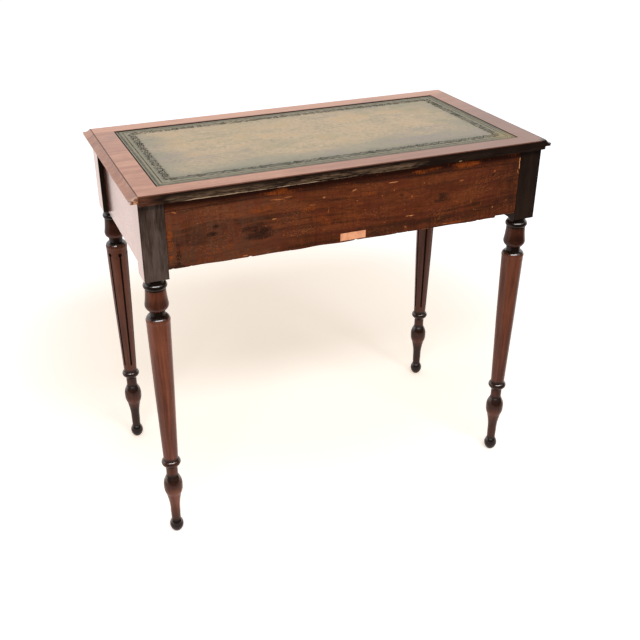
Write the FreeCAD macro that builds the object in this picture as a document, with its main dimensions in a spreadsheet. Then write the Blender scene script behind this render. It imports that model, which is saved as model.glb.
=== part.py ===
import FreeCAD, Part
import Sketcher
import math
import os
import re

# Writing table with a leather top, two frieze drawers and turned legs.
# Millimetres. Z is up, the drawers face -Y, and the origin is on the floor under the
# middle of the whole table, knobs included. Left and right are those of a person who
# sits at the drawers.

# Driving sizes: name, value, what it is
SIZES = [
    ("top_length", 836, "overall length over the two end mouldings"),
    ("top_depth", 440, "overall depth from the front moulding to the back edge"),
    ("table_height", 750, "floor to the writing surface"),

    ("board_thick", 17, "softwood board under the veneered surface"),
    ("banding_thick", 2, "crossbanding round the leather"),
    ("leather_thick", 1.4, "writing leather, a little below the banding"),
    ("banding_end_width", 40, "crossbanding at the two ends"),
    ("banding_side_width", 37, "crossbanding along the front and the back"),
    ("moulding_width", 15, "how far the edge moulding stands out"),
    ("moulding_height", 14, "edge moulding from its flat underside to the surface"),
    ("quirk_width", 1.6, "sunk line between the flat top and the moulding"),
    ("quirk_depth", 1.4, "depth of that line"),
    ("ovolo_drop", 0.5, "start of the round below the flat top"),
    ("ovolo_bulge", 1.9, "crown of the long round"),
    ("nose_height", 5, "underside of the moulding to its furthest point"),
    ("nose_return", 1.4, "how far the underside draws back from that point"),
    ("nose_bulge", 0.8, "crown of the nose"),
    ("back_overhang", 13, "top beyond the back faces of the back legs"),

    ("leg_square", 45, "square post at the head of each leg"),
    ("post_length", 146, "height of the posts and of the frieze"),
    ("under_post_height", 9.5, "turned neck below the post"),
    ("under_post_radius", 17.5, "radius of that neck"),
    ("ring_height", 13, "upper ring"),
    ("ring_root_radius", 18.4, "radius at the ring's edges"),
    ("ring_bulge", 3.8, "how far the ring swells"),
    ("vase_top_radius", 19.2, "head of the vase turning"),
    ("vase_height", 29, "head of the vase to its widest part"),
    ("vase_radius", 21.8, "widest part of the vase"),
    ("vase_hollow", 0.5, "hollow in the vase's side"),
    ("vase_foot_height", 13.5, "widest part of the vase to its foot"),
    ("vase_foot_radius", 17.4, "foot of the vase"),
    ("vase_foot_bulge", 2.1, "round under the vase"),
    ("waist_radius", 14.5, "thin waist under the vase"),
    ("waist_height", 11, "height of the waist"),
    ("edge_step", 1.2, "small sloped step beside a waist"),
    ("shoulder_low_radius", 17.6, "head of the column's shoulder"),
    ("shoulder_height", 12.5, "rounded shoulder of the column"),
    ("shoulder_bulge", 2.5, "crown of that shoulder"),
    ("column_top_radius", 22.5, "head of the tapered column"),
    ("column_foot_radius", 14.7, "foot of the tapered column"),
    ("column_swell", 0.5, "swell of the column half-way down"),
    ("column_neck_height", 4, "lower ring to the foot of the column"),
    ("low_ring_height", 14, "lower ring"),
    ("low_ring_root_radius", 15.4, "radius at the lower ring's edges"),
    ("low_ring_bulge", 3.9, "how far the lower ring swells"),
    ("low_waist_radius", 11.7, "waist under the lower ring"),
    ("low_waist_slope", 5, "slope from the ring down to the waist"),
    ("low_waist_height", 22, "height of that waist"),
    ("bulb_top_radius", 12.6, "top edge of the bulb"),
    ("bulb_top_bulge", 2.3, "round of the bulb's upper part"),
    ("bulb_upper_height", 26, "widest part of the bulb to its top"),
    ("bulb_radius", 19.0, "widest part of the bulb"),
    ("bulb_low_bulge", 1.3, "round of the bulb's lower part"),
    ("bulb_lower_height", 19, "turn below the bulb to its widest part"),
    ("calf_radius", 15.2, "radius at that turn"),
    ("calf_length", 15, "slim part to the turn above it"),
    ("shin_radius", 12.1, "radius of the slim part"),
    ("shin_hollow", 0.9, "long hollow above the ankle"),
    ("shin_length", 32, "ankle to the slim part"),
    ("ankle_radius", 9.8, "radius at the ankle"),
    ("ankle_foot_radius", 9.3, "radius just above the ball foot"),
    ("ankle_length", 18, "height of the ankle"),
    ("ball_neck_height", 3, "ball foot to the end of the ankle"),
    ("ball_height", 29, "height of the ball foot"),
    ("ball_top_radius", 9.8, "head of the ball foot"),
    ("ball_bulge", 5.6, "how far the ball swells"),
    ("ball_foot_radius", 7, "flat on which the leg stands"),
    ("flute_radius", 2.0, "radius of the narrow flutes on the front legs"),
    ("flute_dot_radius", 4.7, "round sinking at the head of each flute"),
    ("flute_dot_lift", 1.4, "centre of that sinking outside the column's surface"),
    ("flute_top_drop", 13, "head of the column down to those sinkings"),
    ("flute_foot_rise", 16, "foot of the column up to the ends of the flutes"),

    ("side_rail_thick", 20, "side rails between the legs"),
    ("side_rail_setback", 10, "side rails back from the outer faces of the posts"),
    ("back_board_thick", 20, "back board of the frieze"),
    ("back_board_height", 130, "height of the back board"),
    ("end_step_height", 4, "part cut away under the back board's left end"),
    ("end_step_length", 46, "length of that cut"),
    ("front_rail_thick", 18, "rails above and below the drawers, laid flat"),
    ("front_rail_depth", 50, "depth of those rails from front to back"),
    ("divider_width", 24, "upright between the drawers"),
    ("tenon_length", 18, "how far tenons go into a post"),
    ("tenon_thick", 8, "thickness of the tenons"),
    ("tenon_shoulder", 14, "shoulder above, below or beside a tenon"),
    ("stub_length", 8, "short tenons of the divider"),
    ("joint_clearance", 0.1, "gap all round a tenon in its mortise"),
    ("runner_bearing", 22, "width of runner under a drawer side"),
    ("bearer_depth", 25, "cross bearer behind the runners"),
    ("guide_height", 17, "guide strips beside the drawers"),
    ("stop_length", 30, "drawer stop along the rail"),
    ("stop_depth", 16, "drawer stop from front to back"),
    ("stop_height", 4, "height of a drawer stop"),
    ("stop_inset", 55, "drawer stop from the end of its drawer"),
    ("block_size", 16, "glue blocks under the back edge of the top"),
    ("block_length", 60, "length of a glue block"),
    ("block_spread", 120, "spacing of the glue blocks"),
    ("label_width", 52, "old paper label on the back board"),
    ("label_height", 15, "height of the label"),
    ("label_thick", 0.2, "thickness of the paper"),
    ("label_rise", 2, "label above the back board's lower edge"),
    ("label_offset", 1, "label's middle from the table's middle"),

    ("drawer_clearance", 0.75, "gap round a drawer in its opening"),
    ("drawer_gap", 12, "back of a drawer to the back board"),
    ("drawer_front_thick", 18, "drawer front"),
    ("drawer_side_thick", 9, "drawer sides"),
    ("drawer_back_thick", 9, "drawer back"),
    ("drawer_bottom_thick", 6, "drawer bottom"),
    ("drawer_side_drop", 2, "top of the drawer sides below the opening"),
    ("drawer_back_drop", 8, "top of the drawer back below the sides"),
    ("bottom_rise", 10, "drawer bottom above the lower edges of the sides"),
    ("groove_depth", 4, "grooves that hold the drawer bottom"),
    ("tail_lap", 1.5, "wood between the dovetails and the cock bead"),
    ("tail_width", 20, "dovetail at its narrow end"),
    ("tail_flare", 2.5, "how much a dovetail spreads on each side"),
    ("tail_pitch", 33, "spacing of the dovetails"),
    ("bead_thick", 3, "cock bead round each drawer front"),
    ("bead_depth", 9, "cock bead from front to back"),
    ("bead_stand", 1.5, "cock bead in front of the drawer face"),

    ("knob_spread", 172, "distance between a drawer's two knobs"),
    ("knob_spigot_radius", 5.5, "spigot of a knob through the drawer front"),
    ("knob_foot_radius", 11, "foot of a knob on the drawer front"),
    ("knob_foot_height", 3, "height of that foot"),
    ("knob_neck_radius", 7.5, "neck of a knob"),
    ("knob_neck_height", 9, "end of the neck from the drawer front"),
    ("knob_radius", 17, "knob at its widest"),
    ("knob_wide_height", 17, "widest part from the drawer front"),
    ("knob_under_bulge", 1.6, "round of the knob's underside"),
    ("knob_face_radius", 8, "flat of the knob's face"),
    ("knob_length", 26, "knob's face from the drawer front"),
    ("knob_face_bulge", 2.2, "round of the knob's front"),

    ("lock_half_width", 25, "half the width of the lock's box"),
    ("lock_height", 36, "height of the lock's box"),
    ("lock_depth", 8, "depth of the lock's box"),
    ("lock_wall", 1.5, "brass of the lock's box and plates"),
    ("plate_margin", 7, "lock plate beyond the box on each side"),
    ("plate_foot_margin", 3, "lock plate below the box"),
    ("bolt_half_width", 8, "half the width of the bolt's head"),
    ("bolt_thick", 4, "thickness of the bolt"),
    ("bolt_head_height", 13, "height of the bolt's head"),
    ("bolt_tail_half_width", 12, "half the width of the bolt's tail"),
    ("bolt_tail_height", 9, "height of the bolt's tail"),
    ("bolt_throw", 8, "how far the bolt rises"),
    ("bolt_clearance", 0.3, "gap round the bolt in its slot"),
    ("keyhole_drop", 26, "keyhole below the top of the drawer front"),
    ("keyhole_radius", 2.8, "round part of the keyhole"),
    ("keyhole_slot_width", 2.4, "slot of the keyhole"),
    ("keyhole_slot_length", 8, "slot below the middle of the round part"),
    ("escutcheon_rim", 1.3, "brass rim of the keyhole"),
    ("escutcheon_depth", 3, "brass rim let into the drawer front"),
    ("key_pin_radius", 1.1, "pin inside the keyhole"),
    ("key_pin_length", 12, "length of that pin"),

    ("screw_length", 28, "screws that hold the top"),
    ("screw_radius", 2, "shank of those screws"),
    ("screw_head_radius", 4, "head of those screws"),
    ("screw_head_height", 2.4, "depth of the countersunk head"),
    ("screw_slot_width", 0.8, "slot in a screw's head"),
    ("screw_slot_depth", 1, "depth of that slot"),
    ("screw_clearance", 0.1, "gap round a screw in its hole"),
    ("screw_inset", 60, "screws from the ends of a strip"),
    ("pin_length", 11, "small screws of the drawer bottom and the lock"),
    ("pin_radius", 1.1, "shank of the small screws"),
    ("pin_head_radius", 2.3, "head of the small screws"),
    ("pin_head_height", 1.2, "depth of their countersunk heads"),
    ("lock_screw_inset", 4, "lock screws from the edges of the plate"),
    ("overrun", 5, "how far a cutting solid runs past what it cuts"),
]

# Places worked out from the sizes
PLACES = [
    ("flat_x", "top_length / 2 - moulding_width"),
    ("front_reach", "max(moulding_width; knob_length)"),
    ("flat_back", "(top_depth - moulding_width + front_reach) / 2"),
    ("flat_front", "flat_back - top_depth + moulding_width"),
    ("board_top", "table_height - banding_thick"),
    ("top_under", "board_top - board_thick"),
    ("moulding_under", "table_height - moulding_height"),
    ("leather_x", "flat_x - banding_end_width"),
    ("leather_front", "flat_front + banding_side_width"),
    ("leather_back", "flat_back - banding_side_width"),

    ("leg_half", "leg_square / 2"),
    ("post_in_x", "flat_x - leg_square"),
    ("leg_x", "flat_x - leg_half"),
    ("frame_front", "flat_front"),
    ("frame_back", "flat_back - back_overhang"),
    ("front_leg_y", "frame_front + leg_half"),
    ("back_leg_y", "frame_back - leg_half"),
    ("front_post_in_y", "frame_front + leg_square"),
    ("back_post_in_y", "frame_back - leg_square"),
    ("post_bottom", "top_under - post_length"),

    ("ring_top", "post_bottom - under_post_height"),
    ("ring_foot", "ring_top - ring_height"),
    ("vase_wide", "ring_foot - vase_height"),
    ("vase_foot", "vase_wide - vase_foot_height"),
    ("waist_foot", "vase_foot - waist_height"),
    ("column_top", "waist_foot - edge_step - shoulder_height"),
    ("ankle_foot_height", "ball_height + ball_neck_height"),
    ("ankle_height", "ankle_foot_height + ankle_length"),
    ("shin_height", "ankle_height + shin_length"),
    ("calf_height", "shin_height + calf_length"),
    ("bulb_height", "calf_height + bulb_lower_height"),
    ("bulb_top", "bulb_height + bulb_upper_height"),
    ("low_ring_foot", "bulb_top + low_waist_height + low_waist_slope"),
    ("low_ring_top", "low_ring_foot + low_ring_height"),
    ("column_foot_height", "low_ring_top + column_neck_height"),
    ("column_lean", "atan((column_top_radius - column_foot_radius) / (column_top - column_foot_height))"),
    ("flute_top", "column_top - flute_top_drop"),
    ("flute_foot", "column_foot_height + flute_foot_rise"),
    ("flute_top_radius", "column_top_radius - flute_top_drop * tan(column_lean)"),
    ("flute_foot_radius", "column_foot_radius + flute_foot_rise * tan(column_lean)"),

    ("side_rail_out", "flat_x - side_rail_setback"),
    ("side_rail_in", "side_rail_out - side_rail_thick"),
    ("side_tenon_in", "side_rail_in + (side_rail_thick - tenon_thick) / 2"),
    ("side_tenon_out", "side_tenon_in + tenon_thick"),
    ("side_tenon_low", "post_bottom + tenon_shoulder"),
    ("tenon_high", "top_under - tenon_shoulder"),
    ("back_board_in", "frame_back - back_board_thick"),
    ("back_board_foot", "top_under - back_board_height"),
    ("back_tenon_in", "back_board_in + (back_board_thick - tenon_thick) / 2"),
    ("back_tenon_out", "back_tenon_in + tenon_thick"),
    ("back_tenon_low", "back_board_foot + tenon_shoulder"),

    ("bay_low", "post_bottom + front_rail_thick"),
    ("bay_high", "top_under - front_rail_thick"),
    ("front_rail_back", "frame_front + front_rail_depth"),
    ("rail_tenon_front", "frame_front + tenon_shoulder"),
    ("rail_tenon_back", "front_post_in_y - tenon_shoulder / 2"),
    ("rail_tenon_offset", "(front_rail_thick - tenon_thick) / 2"),
    ("divider_half", "divider_width / 2"),
    ("stub_half", "divider_half - tenon_thick / 2"),
    ("runner_in", "post_in_x - runner_bearing"),
    ("bearer_front", "back_post_in_y - bearer_depth"),
    ("centre_runner_half", "divider_half + runner_bearing"),

    ("bay_centre", "(post_in_x + divider_half) / 2"),
    ("front_half", "(post_in_x - divider_half) / 2 - drawer_clearance"),
    ("drawer_foot", "bay_low"),
    ("front_low", "bay_low + drawer_clearance"),
    ("front_high", "bay_high - drawer_clearance"),
    ("front_back", "frame_front + drawer_front_thick"),
    ("drawer_rear", "back_board_in - drawer_gap"),
    ("tail_tip", "frame_front - bead_stand + bead_depth + tail_lap"),
    ("side_high", "bay_high - drawer_side_drop"),
    ("side_inner", "front_half - drawer_side_thick"),
    ("bottom_low", "drawer_foot + bottom_rise"),
    ("bottom_high", "bottom_low + drawer_bottom_thick"),
    ("back_front", "drawer_rear - drawer_back_thick"),
    ("back_high", "side_high - drawer_back_drop"),
    ("tail_middle", "(drawer_foot + side_high) / 2"),
    ("back_tail_middle", "(bottom_high + back_high) / 2"),
    ("knob_height", "(front_low + front_high) / 2"),

    ("lock_top", "front_high - lock_wall"),
    ("lock_foot", "lock_top - lock_height"),
    ("plate_front", "front_back - lock_wall"),
    ("lock_front", "plate_front - lock_depth"),
    ("plate_half", "lock_half_width + plate_margin"),
    ("plate_foot", "lock_foot - plate_foot_margin"),
    ("bolt_front", "(lock_front + lock_wall + plate_front - bolt_thick) / 2"),
    ("bolt_back", "bolt_front + bolt_thick"),
    ("bolt_head_foot", "front_high - bolt_head_height"),
    ("bolt_tail_foot", "bolt_head_foot - bolt_tail_height"),
    ("keyhole_z", "front_high - keyhole_drop"),
]

DRAWERS = (("left", -1), ("right", 1))
FLUTE_COUNT = 6
FLUTE_TURN = {"left": 10, "right": 34}
TAIL_STEPS = (-1, 0, 1)
BACK_TAIL_STEPS = (-1, 1)
BLOCK_STEPS = (-2, -1, 1, 2)
QUARTER_TURN = 90
FULL_TURN = 360
ARC_SHARE = 8
TINY = 1e-6

ALIASES = {}
parts = []
doc = FreeCAD.newDocument("writing_table")


def fill_sheet(name, rows):
    """Write one sheet: on each line a name, its aliased value and what it is."""
    sheet = doc.addObject("Spreadsheet::Sheet", name)
    for line, (alias, value, meaning) in enumerate(rows, 1):
        sheet.set("A%d" % line, alias)
        sheet.set("B%d" % line, full(value))
        sheet.set("C%d" % line, meaning)
        sheet.setAlias("B%d" % line, alias)
        ALIASES[alias] = "%s.%s" % (name, alias)
    doc.recompute()
    return sheet


def full(expression):
    """Put each alias's sheet in front of it."""
    return re.sub(r"[a-z][a-z_]*", lambda word: ALIASES.get(word.group(0), word.group(0)), expression)


def number(expression):
    """The value of an expression, as a plain number."""
    return float(places.evalExpression(full(expression)))


def bind(thing, prop, expression):
    """Tie one property of an object to the sizes."""
    thing.setExpression(prop, full(expression))


def flip(span):
    """The same stretch on the other side of zero."""
    return ("-(%s)" % span[1], "-(%s)" % span[0])


def sided(span, side):
    """A stretch given for the right-hand side, put on either side."""
    return span if side > 0 else flip(span)


def moved(span, offset):
    """A stretch shifted by an expression."""
    return ("(%s) + (%s)" % (offset, span[0]), "(%s) + (%s)" % (offset, span[1]))


def grown(span, margin):
    """A stretch made longer by a margin at both ends."""
    return ("(%s) - (%s)" % (span[0], margin), "(%s) + (%s)" % (span[1], margin))


def even(half):
    """A stretch that lies evenly about zero."""
    return ("-(%s)" % half, half)


def spread(box, x, y, z):
    """Tie a box's edges and its lowest corner to three stretches."""
    for prop, axis, span in (("Length", "x", x), ("Width", "y", y), ("Height", "z", z)):
        bind(box, prop, "(%s) - (%s)" % (span[1], span[0]))
        bind(box, "Placement.Base." + axis, span[0])
    return box


def slab(name, x, y, z):
    """A squared piece of wood or metal between three pairs of planes."""
    return spread(doc.addObject("Part::Box", name), x, y, z)


def place(thing, x="0", y="0", z="0"):
    """Tie a solid's place to three expressions."""
    for axis, expression in (("x", x), ("y", y), ("z", z)):
        bind(thing, "Placement.Base." + axis, expression)
    return thing


def turned_to(thing, axis, angle):
    """Turn a solid about one axis before it is placed."""
    thing.Placement = FreeCAD.Placement(FreeCAD.Vector(), FreeCAD.Rotation(axis, angle))
    return thing


def rod(name, radius, length, x="0", y="0", z="0", along=None):
    """A round bar that starts at a place and runs up, or along another axis."""
    bar = doc.addObject("Part::Cylinder", name)
    if along == "y":
        turned_to(bar, FreeCAD.Vector(1, 0, 0), -QUARTER_TURN)
    if along == "x":
        turned_to(bar, FreeCAD.Vector(0, 1, 0), QUARTER_TURN)
    bind(bar, "Radius", radius)
    bind(bar, "Height", length)
    return place(bar, x, y, z)


def cone(name, low_radius, high_radius, length, x="0", y="0", z="0", along=None):
    """A tapered round solid."""
    taper = doc.addObject("Part::Cone", name)
    if along == "y":
        turned_to(taper, FreeCAD.Vector(1, 0, 0), -QUARTER_TURN)
    bind(taper, "Radius1", low_radius)
    bind(taper, "Radius2", high_radius)
    bind(taper, "Height", length)
    return place(taper, x, y, z)


def wedge(name, y, x_at_low, x_at_high, z_at_low, z_at_high):
    """A solid whose section changes evenly between two planes across Y."""
    solid = doc.addObject("Part::Wedge", name)
    limits = {
        "Ymin": y[0], "Ymax": y[1],
        "Xmin": x_at_low[0], "Xmax": x_at_low[1], "X2min": x_at_high[0], "X2max": x_at_high[1],
        "Zmin": z_at_low[0], "Zmax": z_at_low[1], "Z2min": z_at_high[0], "Z2max": z_at_high[1],
    }
    for prop, expression in limits.items():
        bind(solid, prop, expression)
    return solid


def joined(name, solids):
    """Several solids grown into one."""
    union = doc.addObject("Part::MultiFuse", name)
    union.Shapes = solids
    union.Refine = True
    return union


def gathered(name, solids):
    """Several solids kept apart in one object."""
    group = doc.addObject("Part::Compound", name)
    group.Links = solids
    return group


def cut(name, base, tools):
    """A solid less several others."""
    result = doc.addObject("Part::Cut", name)
    result.Base = base
    result.Tool = tools[0] if len(tools) == 1 else gathered(name + "_tools", tools)
    result.Refine = True
    return result


def common(name, first, second):
    """What two solids share."""
    result = doc.addObject("Part::Common", name)
    result.Base = first
    result.Tool = second
    result.Refine = True
    return result


def part(thing, label):
    """Name an object as one sub-part of the table."""
    thing.Label = label
    parts.append(thing)
    return thing


def origin_feature(body, role):
    """One of a body's own planes or axes."""
    return [item for item in body.Origin.OriginFeatures if item.Role == role][0]


def hold(sketch, geometry, vertex, axis, expression):
    """Tie one coordinate of a sketch's point to the sizes."""
    if expression == "0":
        line = -2 if axis == "DistanceX" else -1
        sketch.addConstraint(Sketcher.Constraint("PointOnObject", geometry, vertex, line))
        return
    constraint = Sketcher.Constraint(axis, -1, 1, geometry, vertex, number(expression))
    index = sketch.addConstraint(constraint)
    bind(sketch, "Constraints[%d]" % index, expression)


def outline(body, name, role, points):
    """A closed sketch on one of a body's own planes. Each point is its two coordinates and the
    bulge of the side to the next point, towards the right of the way along, as expressions."""
    sketch = body.newObject("Sketcher::SketchObject", name)
    sketch.AttachmentSupport = (origin_feature(body, role), [""])
    sketch.MapMode = "FlatFace"
    corners = [FreeCAD.Vector(number(point[0]), number(point[1]), 0) for point in points]
    ends = []
    for index, point in enumerate(points):
        start = corners[index]
        finish = corners[(index + 1) % len(points)]
        bulge = number(point[2])
        if abs(bulge) < TINY:
            side = sketch.addGeometry(Part.LineSegment(start, finish))
            ends.append((side, 1, 2))
            continue
        chord = finish - start
        right = FreeCAD.Vector(chord.y, -chord.x, 0).normalize()
        crown = (start + finish) * 0.5 + right * bulge
        side = sketch.addGeometry(Part.Arc(start, crown, finish))
        forward = (sketch.getPoint(side, 1) - start).Length < TINY
        ends.append((side, 1, 2) if forward else (side, 2, 1))
        following = points[(index + 1) % len(points)]
        radius = "((%s - (%s))^2 + (%s - (%s))^2) / (%d * abs(%s)) + abs(%s) / 2" % (
            following[0], point[0], following[1], point[1], ARC_SHARE, point[2], point[2])
        constraint = sketch.addConstraint(Sketcher.Constraint("Radius", side, number(radius)))
        bind(sketch, "Constraints[%d]" % constraint, radius)
    for index, (side, first, last) in enumerate(ends):
        following = ends[(index + 1) % len(ends)]
        sketch.addConstraint(Sketcher.Constraint("Coincident", side, last, following[0], following[1]))
        hold(sketch, side, first, "DistanceX", points[index][0])
        hold(sketch, side, first, "DistanceY", points[index][1])
    return sketch


def turned(body, name, sketch):
    """Turn a sketch about the upright axis of its own plane."""
    lathe = body.newObject("PartDesign::Revolution", name)
    lathe.Profile = sketch
    lathe.ReferenceAxis = (sketch, ["V_Axis"])
    lathe.Angle = FULL_TURN
    return lathe


def mortise(body, name, x, y, z):
    """Cut a squared hole in a body."""
    return spread(body.newObject("PartDesign::SubtractiveBox", name), x, y, z)


def leg_outline():
    """Half of a leg's turned part, from the post down to the floor."""
    return [
        ("0", "post_bottom", "0"),
        ("under_post_radius", "post_bottom", "0"),
        ("under_post_radius", "ring_top", "0"),
        ("ring_root_radius", "ring_top", "-ring_bulge"),
        ("ring_root_radius", "ring_foot", "0"),
        ("vase_top_radius", "ring_foot", "vase_hollow"),
        ("vase_radius", "vase_wide", "-vase_foot_bulge"),
        ("vase_foot_radius", "vase_foot", "0"),
        ("waist_radius", "vase_foot - edge_step", "0"),
        ("waist_radius", "waist_foot", "0"),
        ("shoulder_low_radius", "waist_foot - edge_step", "-shoulder_bulge"),
        ("column_top_radius", "column_top", "0"),
        ("(column_top_radius + column_foot_radius) / 2 + column_swell",
         "(column_top + column_foot_height) / 2", "0"),
        ("column_foot_radius", "column_foot_height", "0"),
        ("column_foot_radius", "low_ring_top", "0"),
        ("low_ring_root_radius", "low_ring_top", "-low_ring_bulge"),
        ("low_ring_root_radius", "low_ring_foot", "0"),
        ("low_waist_radius", "low_ring_foot - low_waist_slope", "0"),
        ("low_waist_radius", "bulb_top", "0"),
        ("bulb_top_radius", "bulb_top", "-bulb_top_bulge"),
        ("bulb_radius", "bulb_height", "-bulb_low_bulge"),
        ("calf_radius", "calf_height", "0"),
        ("shin_radius", "shin_height", "shin_hollow"),
        ("ankle_radius", "ankle_height", "0"),
        ("ankle_foot_radius", "ankle_foot_height", "0"),
        ("ball_top_radius", "ball_height", "-ball_bulge"),
        ("ball_foot_radius", "0", "0"),
        ("0", "0", "0"),
    ]


def flutes(first_turn, x, y):
    """Narrow flutes down a column, each with a round sinking at its head."""
    tools = []
    for step in range(FLUTE_COUNT):
        turn = first_turn + step * FULL_TURN / FLUTE_COUNT
        across = "%s + cos(%g) * " % (x, turn)
        along = "%s + sin(%g) * " % (y, turn)
        tangent = FreeCAD.Vector(-math.sin(math.radians(turn)), math.cos(math.radians(turn)), 0)
        groove = rod("flute", "flute_radius", "(flute_top - flute_foot) / cos(column_lean)")
        turned_to(groove, tangent, number("column_lean"))
        bind(groove, "Placement.Rotation.Angle", "column_lean")
        place(groove, across + "flute_foot_radius", along + "flute_foot_radius", "flute_foot")
        dot = doc.addObject("Part::Sphere", "flute_dot")
        bind(dot, "Radius", "flute_dot_radius")
        lifted = "(flute_top_radius + flute_dot_lift)"
        place(dot, across + lifted, along + lifted, "flute_top")
        tools += [groove, dot]
    return tools


def leg(side_name, end_name):
    """One leg: a square post over a turned and tapered column on a ball foot."""
    side = 1 if side_name == "right" else -1
    end = 1 if end_name == "back" else -1
    x = "leg_x" if side > 0 else "-leg_x"
    y = "%s_leg_y" % end_name
    body = doc.addObject("PartDesign::Body", "leg_body")
    profile = outline(body, "leg_profile", "XZ_Plane", leg_outline())
    turned(body, "leg_turning", profile)
    post = body.newObject("PartDesign::AdditiveBox", "post")
    spread(post, even("leg_half"), even("leg_half"), ("post_bottom", "top_under"))
    inward = ("leg_half - tenon_length - joint_clearance", "leg_half + overrun")
    rail_x = moved(("side_tenon_in", "side_tenon_out"), "-leg_x")
    mortise(body, "side_rail_mortise", sided(grown(rail_x, "joint_clearance"), side),
            sided(inward, -end), grown(("side_tenon_low", "tenon_high"), "joint_clearance"))
    if end_name == "back":
        board_y = moved(("back_tenon_in", "back_tenon_out"), "-back_leg_y")
        mortise(body, "back_board_mortise", sided(inward, -side), grown(board_y, "joint_clearance"),
                grown(("back_tenon_low", "tenon_high"), "joint_clearance"))
    else:
        rail_y = moved(("rail_tenon_front", "rail_tenon_back"), "-front_leg_y")
        for name, low in (("low_rail_mortise", "post_bottom"), ("high_rail_mortise", "bay_high")):
            z = ("%s + rail_tenon_offset" % low, "%s + rail_tenon_offset + tenon_thick" % low)
            mortise(body, name, sided(inward, -side), grown(rail_y, "joint_clearance"),
                    grown(z, "joint_clearance"))
    place(body, x, y)
    if end_name == "front":
        body = cut("fluted_leg", body, flutes(FLUTE_TURN[side_name], x, y))
    return part(body, "leg_%s_%s" % (end_name, side_name))


def side_rail(side_name, side):
    """A rail between the front and back legs, tenoned into both."""
    board = slab("side_rail_board", sided(("side_rail_in", "side_rail_out"), side),
                 ("front_post_in_y", "back_post_in_y"), ("post_bottom", "top_under"))
    tenon = slab("side_rail_tenon", sided(("side_tenon_in", "side_tenon_out"), side),
                 ("front_post_in_y - tenon_length", "back_post_in_y + tenon_length"),
                 ("side_tenon_low", "tenon_high"))
    return part(joined("side_rail", [board, tenon]), "side_rail_" + side_name)


def back_board():
    """The stained softwood board across the back, tenoned into the back legs."""
    board = slab("back_board_plank", even("post_in_x"), ("back_board_in", "frame_back"),
                 ("back_board_foot", "top_under"))
    tenon = slab("back_board_tenon", even("post_in_x + tenon_length"),
                 ("back_tenon_in", "back_tenon_out"), ("back_tenon_low", "tenon_high"))
    step = slab("back_board_step", ("-post_in_x - overrun", "-post_in_x + end_step_length"),
                grown(("back_board_in", "frame_back"), "overrun"),
                ("back_board_foot - overrun", "back_board_foot + end_step_height"))
    whole = joined("back_board_joined", [board, tenon])
    return part(cut("back_board", whole, [step]), "back_board")


def front_rail(low, divider_side):
    """A flat rail across the front, tenoned into the front legs and holding the divider."""
    board = slab("front_rail_board", even("post_in_x"), ("frame_front", "front_rail_back"),
                 (low, "%s + front_rail_thick" % low))
    tenon = slab("front_rail_tenon", even("post_in_x + tenon_length"),
                 ("rail_tenon_front", "rail_tenon_back"),
                 ("%s + rail_tenon_offset" % low, "%s + rail_tenon_offset + tenon_thick" % low))
    if divider_side > 0:
        z = ("%s + front_rail_thick - stub_length - joint_clearance" % low,
             "%s + front_rail_thick + overrun" % low)
    else:
        z = ("%s - overrun" % low, "%s + stub_length + joint_clearance" % low)
    socket = slab("divider_socket", even("stub_half + joint_clearance"),
                  grown(("rail_tenon_front", "rail_tenon_back"), "joint_clearance"), z)
    return joined("front_rail_joined", [board, tenon]), [socket]


def front_bottom_rail():
    """The rail under the drawers."""
    whole, sockets = front_rail("post_bottom", 1)
    return part(cut("front_bottom_rail", whole, sockets), "front_bottom_rail")


def front_top_rail():
    """The rail over the drawers, with a mortise over each lock for its bolt."""
    whole, tools = front_rail("bay_high", -1)
    for name, side in DRAWERS:
        tools.append(slab("bolt_mortise", grown(drawer_x(side, even("bolt_half_width")), "bolt_clearance"),
                          grown(("bolt_front", "bolt_back"), "bolt_clearance"),
                          ("bay_high - overrun", "front_high + bolt_throw + drawer_clearance")))
    tools += screw_holes(rail_screw_places())
    return part(cut("front_top_rail", whole, tools), "front_top_rail")


def divider():
    """The upright between the two drawers, with a stub tenon at each end."""
    board = slab("divider_board", even("divider_half"), ("frame_front", "front_rail_back"),
                 ("bay_low", "bay_high"))
    stub = slab("divider_stub", even("stub_half"), ("rail_tenon_front", "rail_tenon_back"),
                ("bay_low - stub_length", "bay_high + stub_length"))
    return part(joined("divider", [board, stub]), "drawer_divider")


def inner_frame():
    """Runners under the drawer sides, kickers over them, guides beside them and the bearer."""
    low = ("post_bottom", "bay_low")
    high = ("bay_high", "top_under")
    guide = ("bay_low", "bay_low + guide_height")
    between = ("front_rail_back", "back_post_in_y")
    part(slab("bearer", even("side_rail_in"), ("bearer_front", "back_post_in_y"), low), "runner_bearer")
    for name, side in DRAWERS:
        strip = sided(("runner_in", "side_rail_in"), side)
        runner = slab("runner", strip, ("front_rail_back", "bearer_front"), low)
        part(runner, "runner_" + name)
        part(slab("guide", sided(("post_in_x", "side_rail_in"), side), between, guide), "guide_" + name)
        kicker = slab("kicker_strip", strip, between, high)
        holes = screw_holes(kicker_screw_places(side))
        part(cut("kicker", kicker, holes), "kicker_" + name)
    middle = even("centre_runner_half")
    part(slab("centre_runner", middle, ("front_rail_back", "bearer_front"), low), "runner_centre")
    part(slab("centre_guide", even("divider_half"), between, guide), "guide_centre")
    kicker = slab("centre_kicker_strip", middle, ("front_rail_back", "back_board_in"), high)
    part(cut("centre_kicker", kicker, screw_holes(centre_screw_places())), "kicker_centre")


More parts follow.
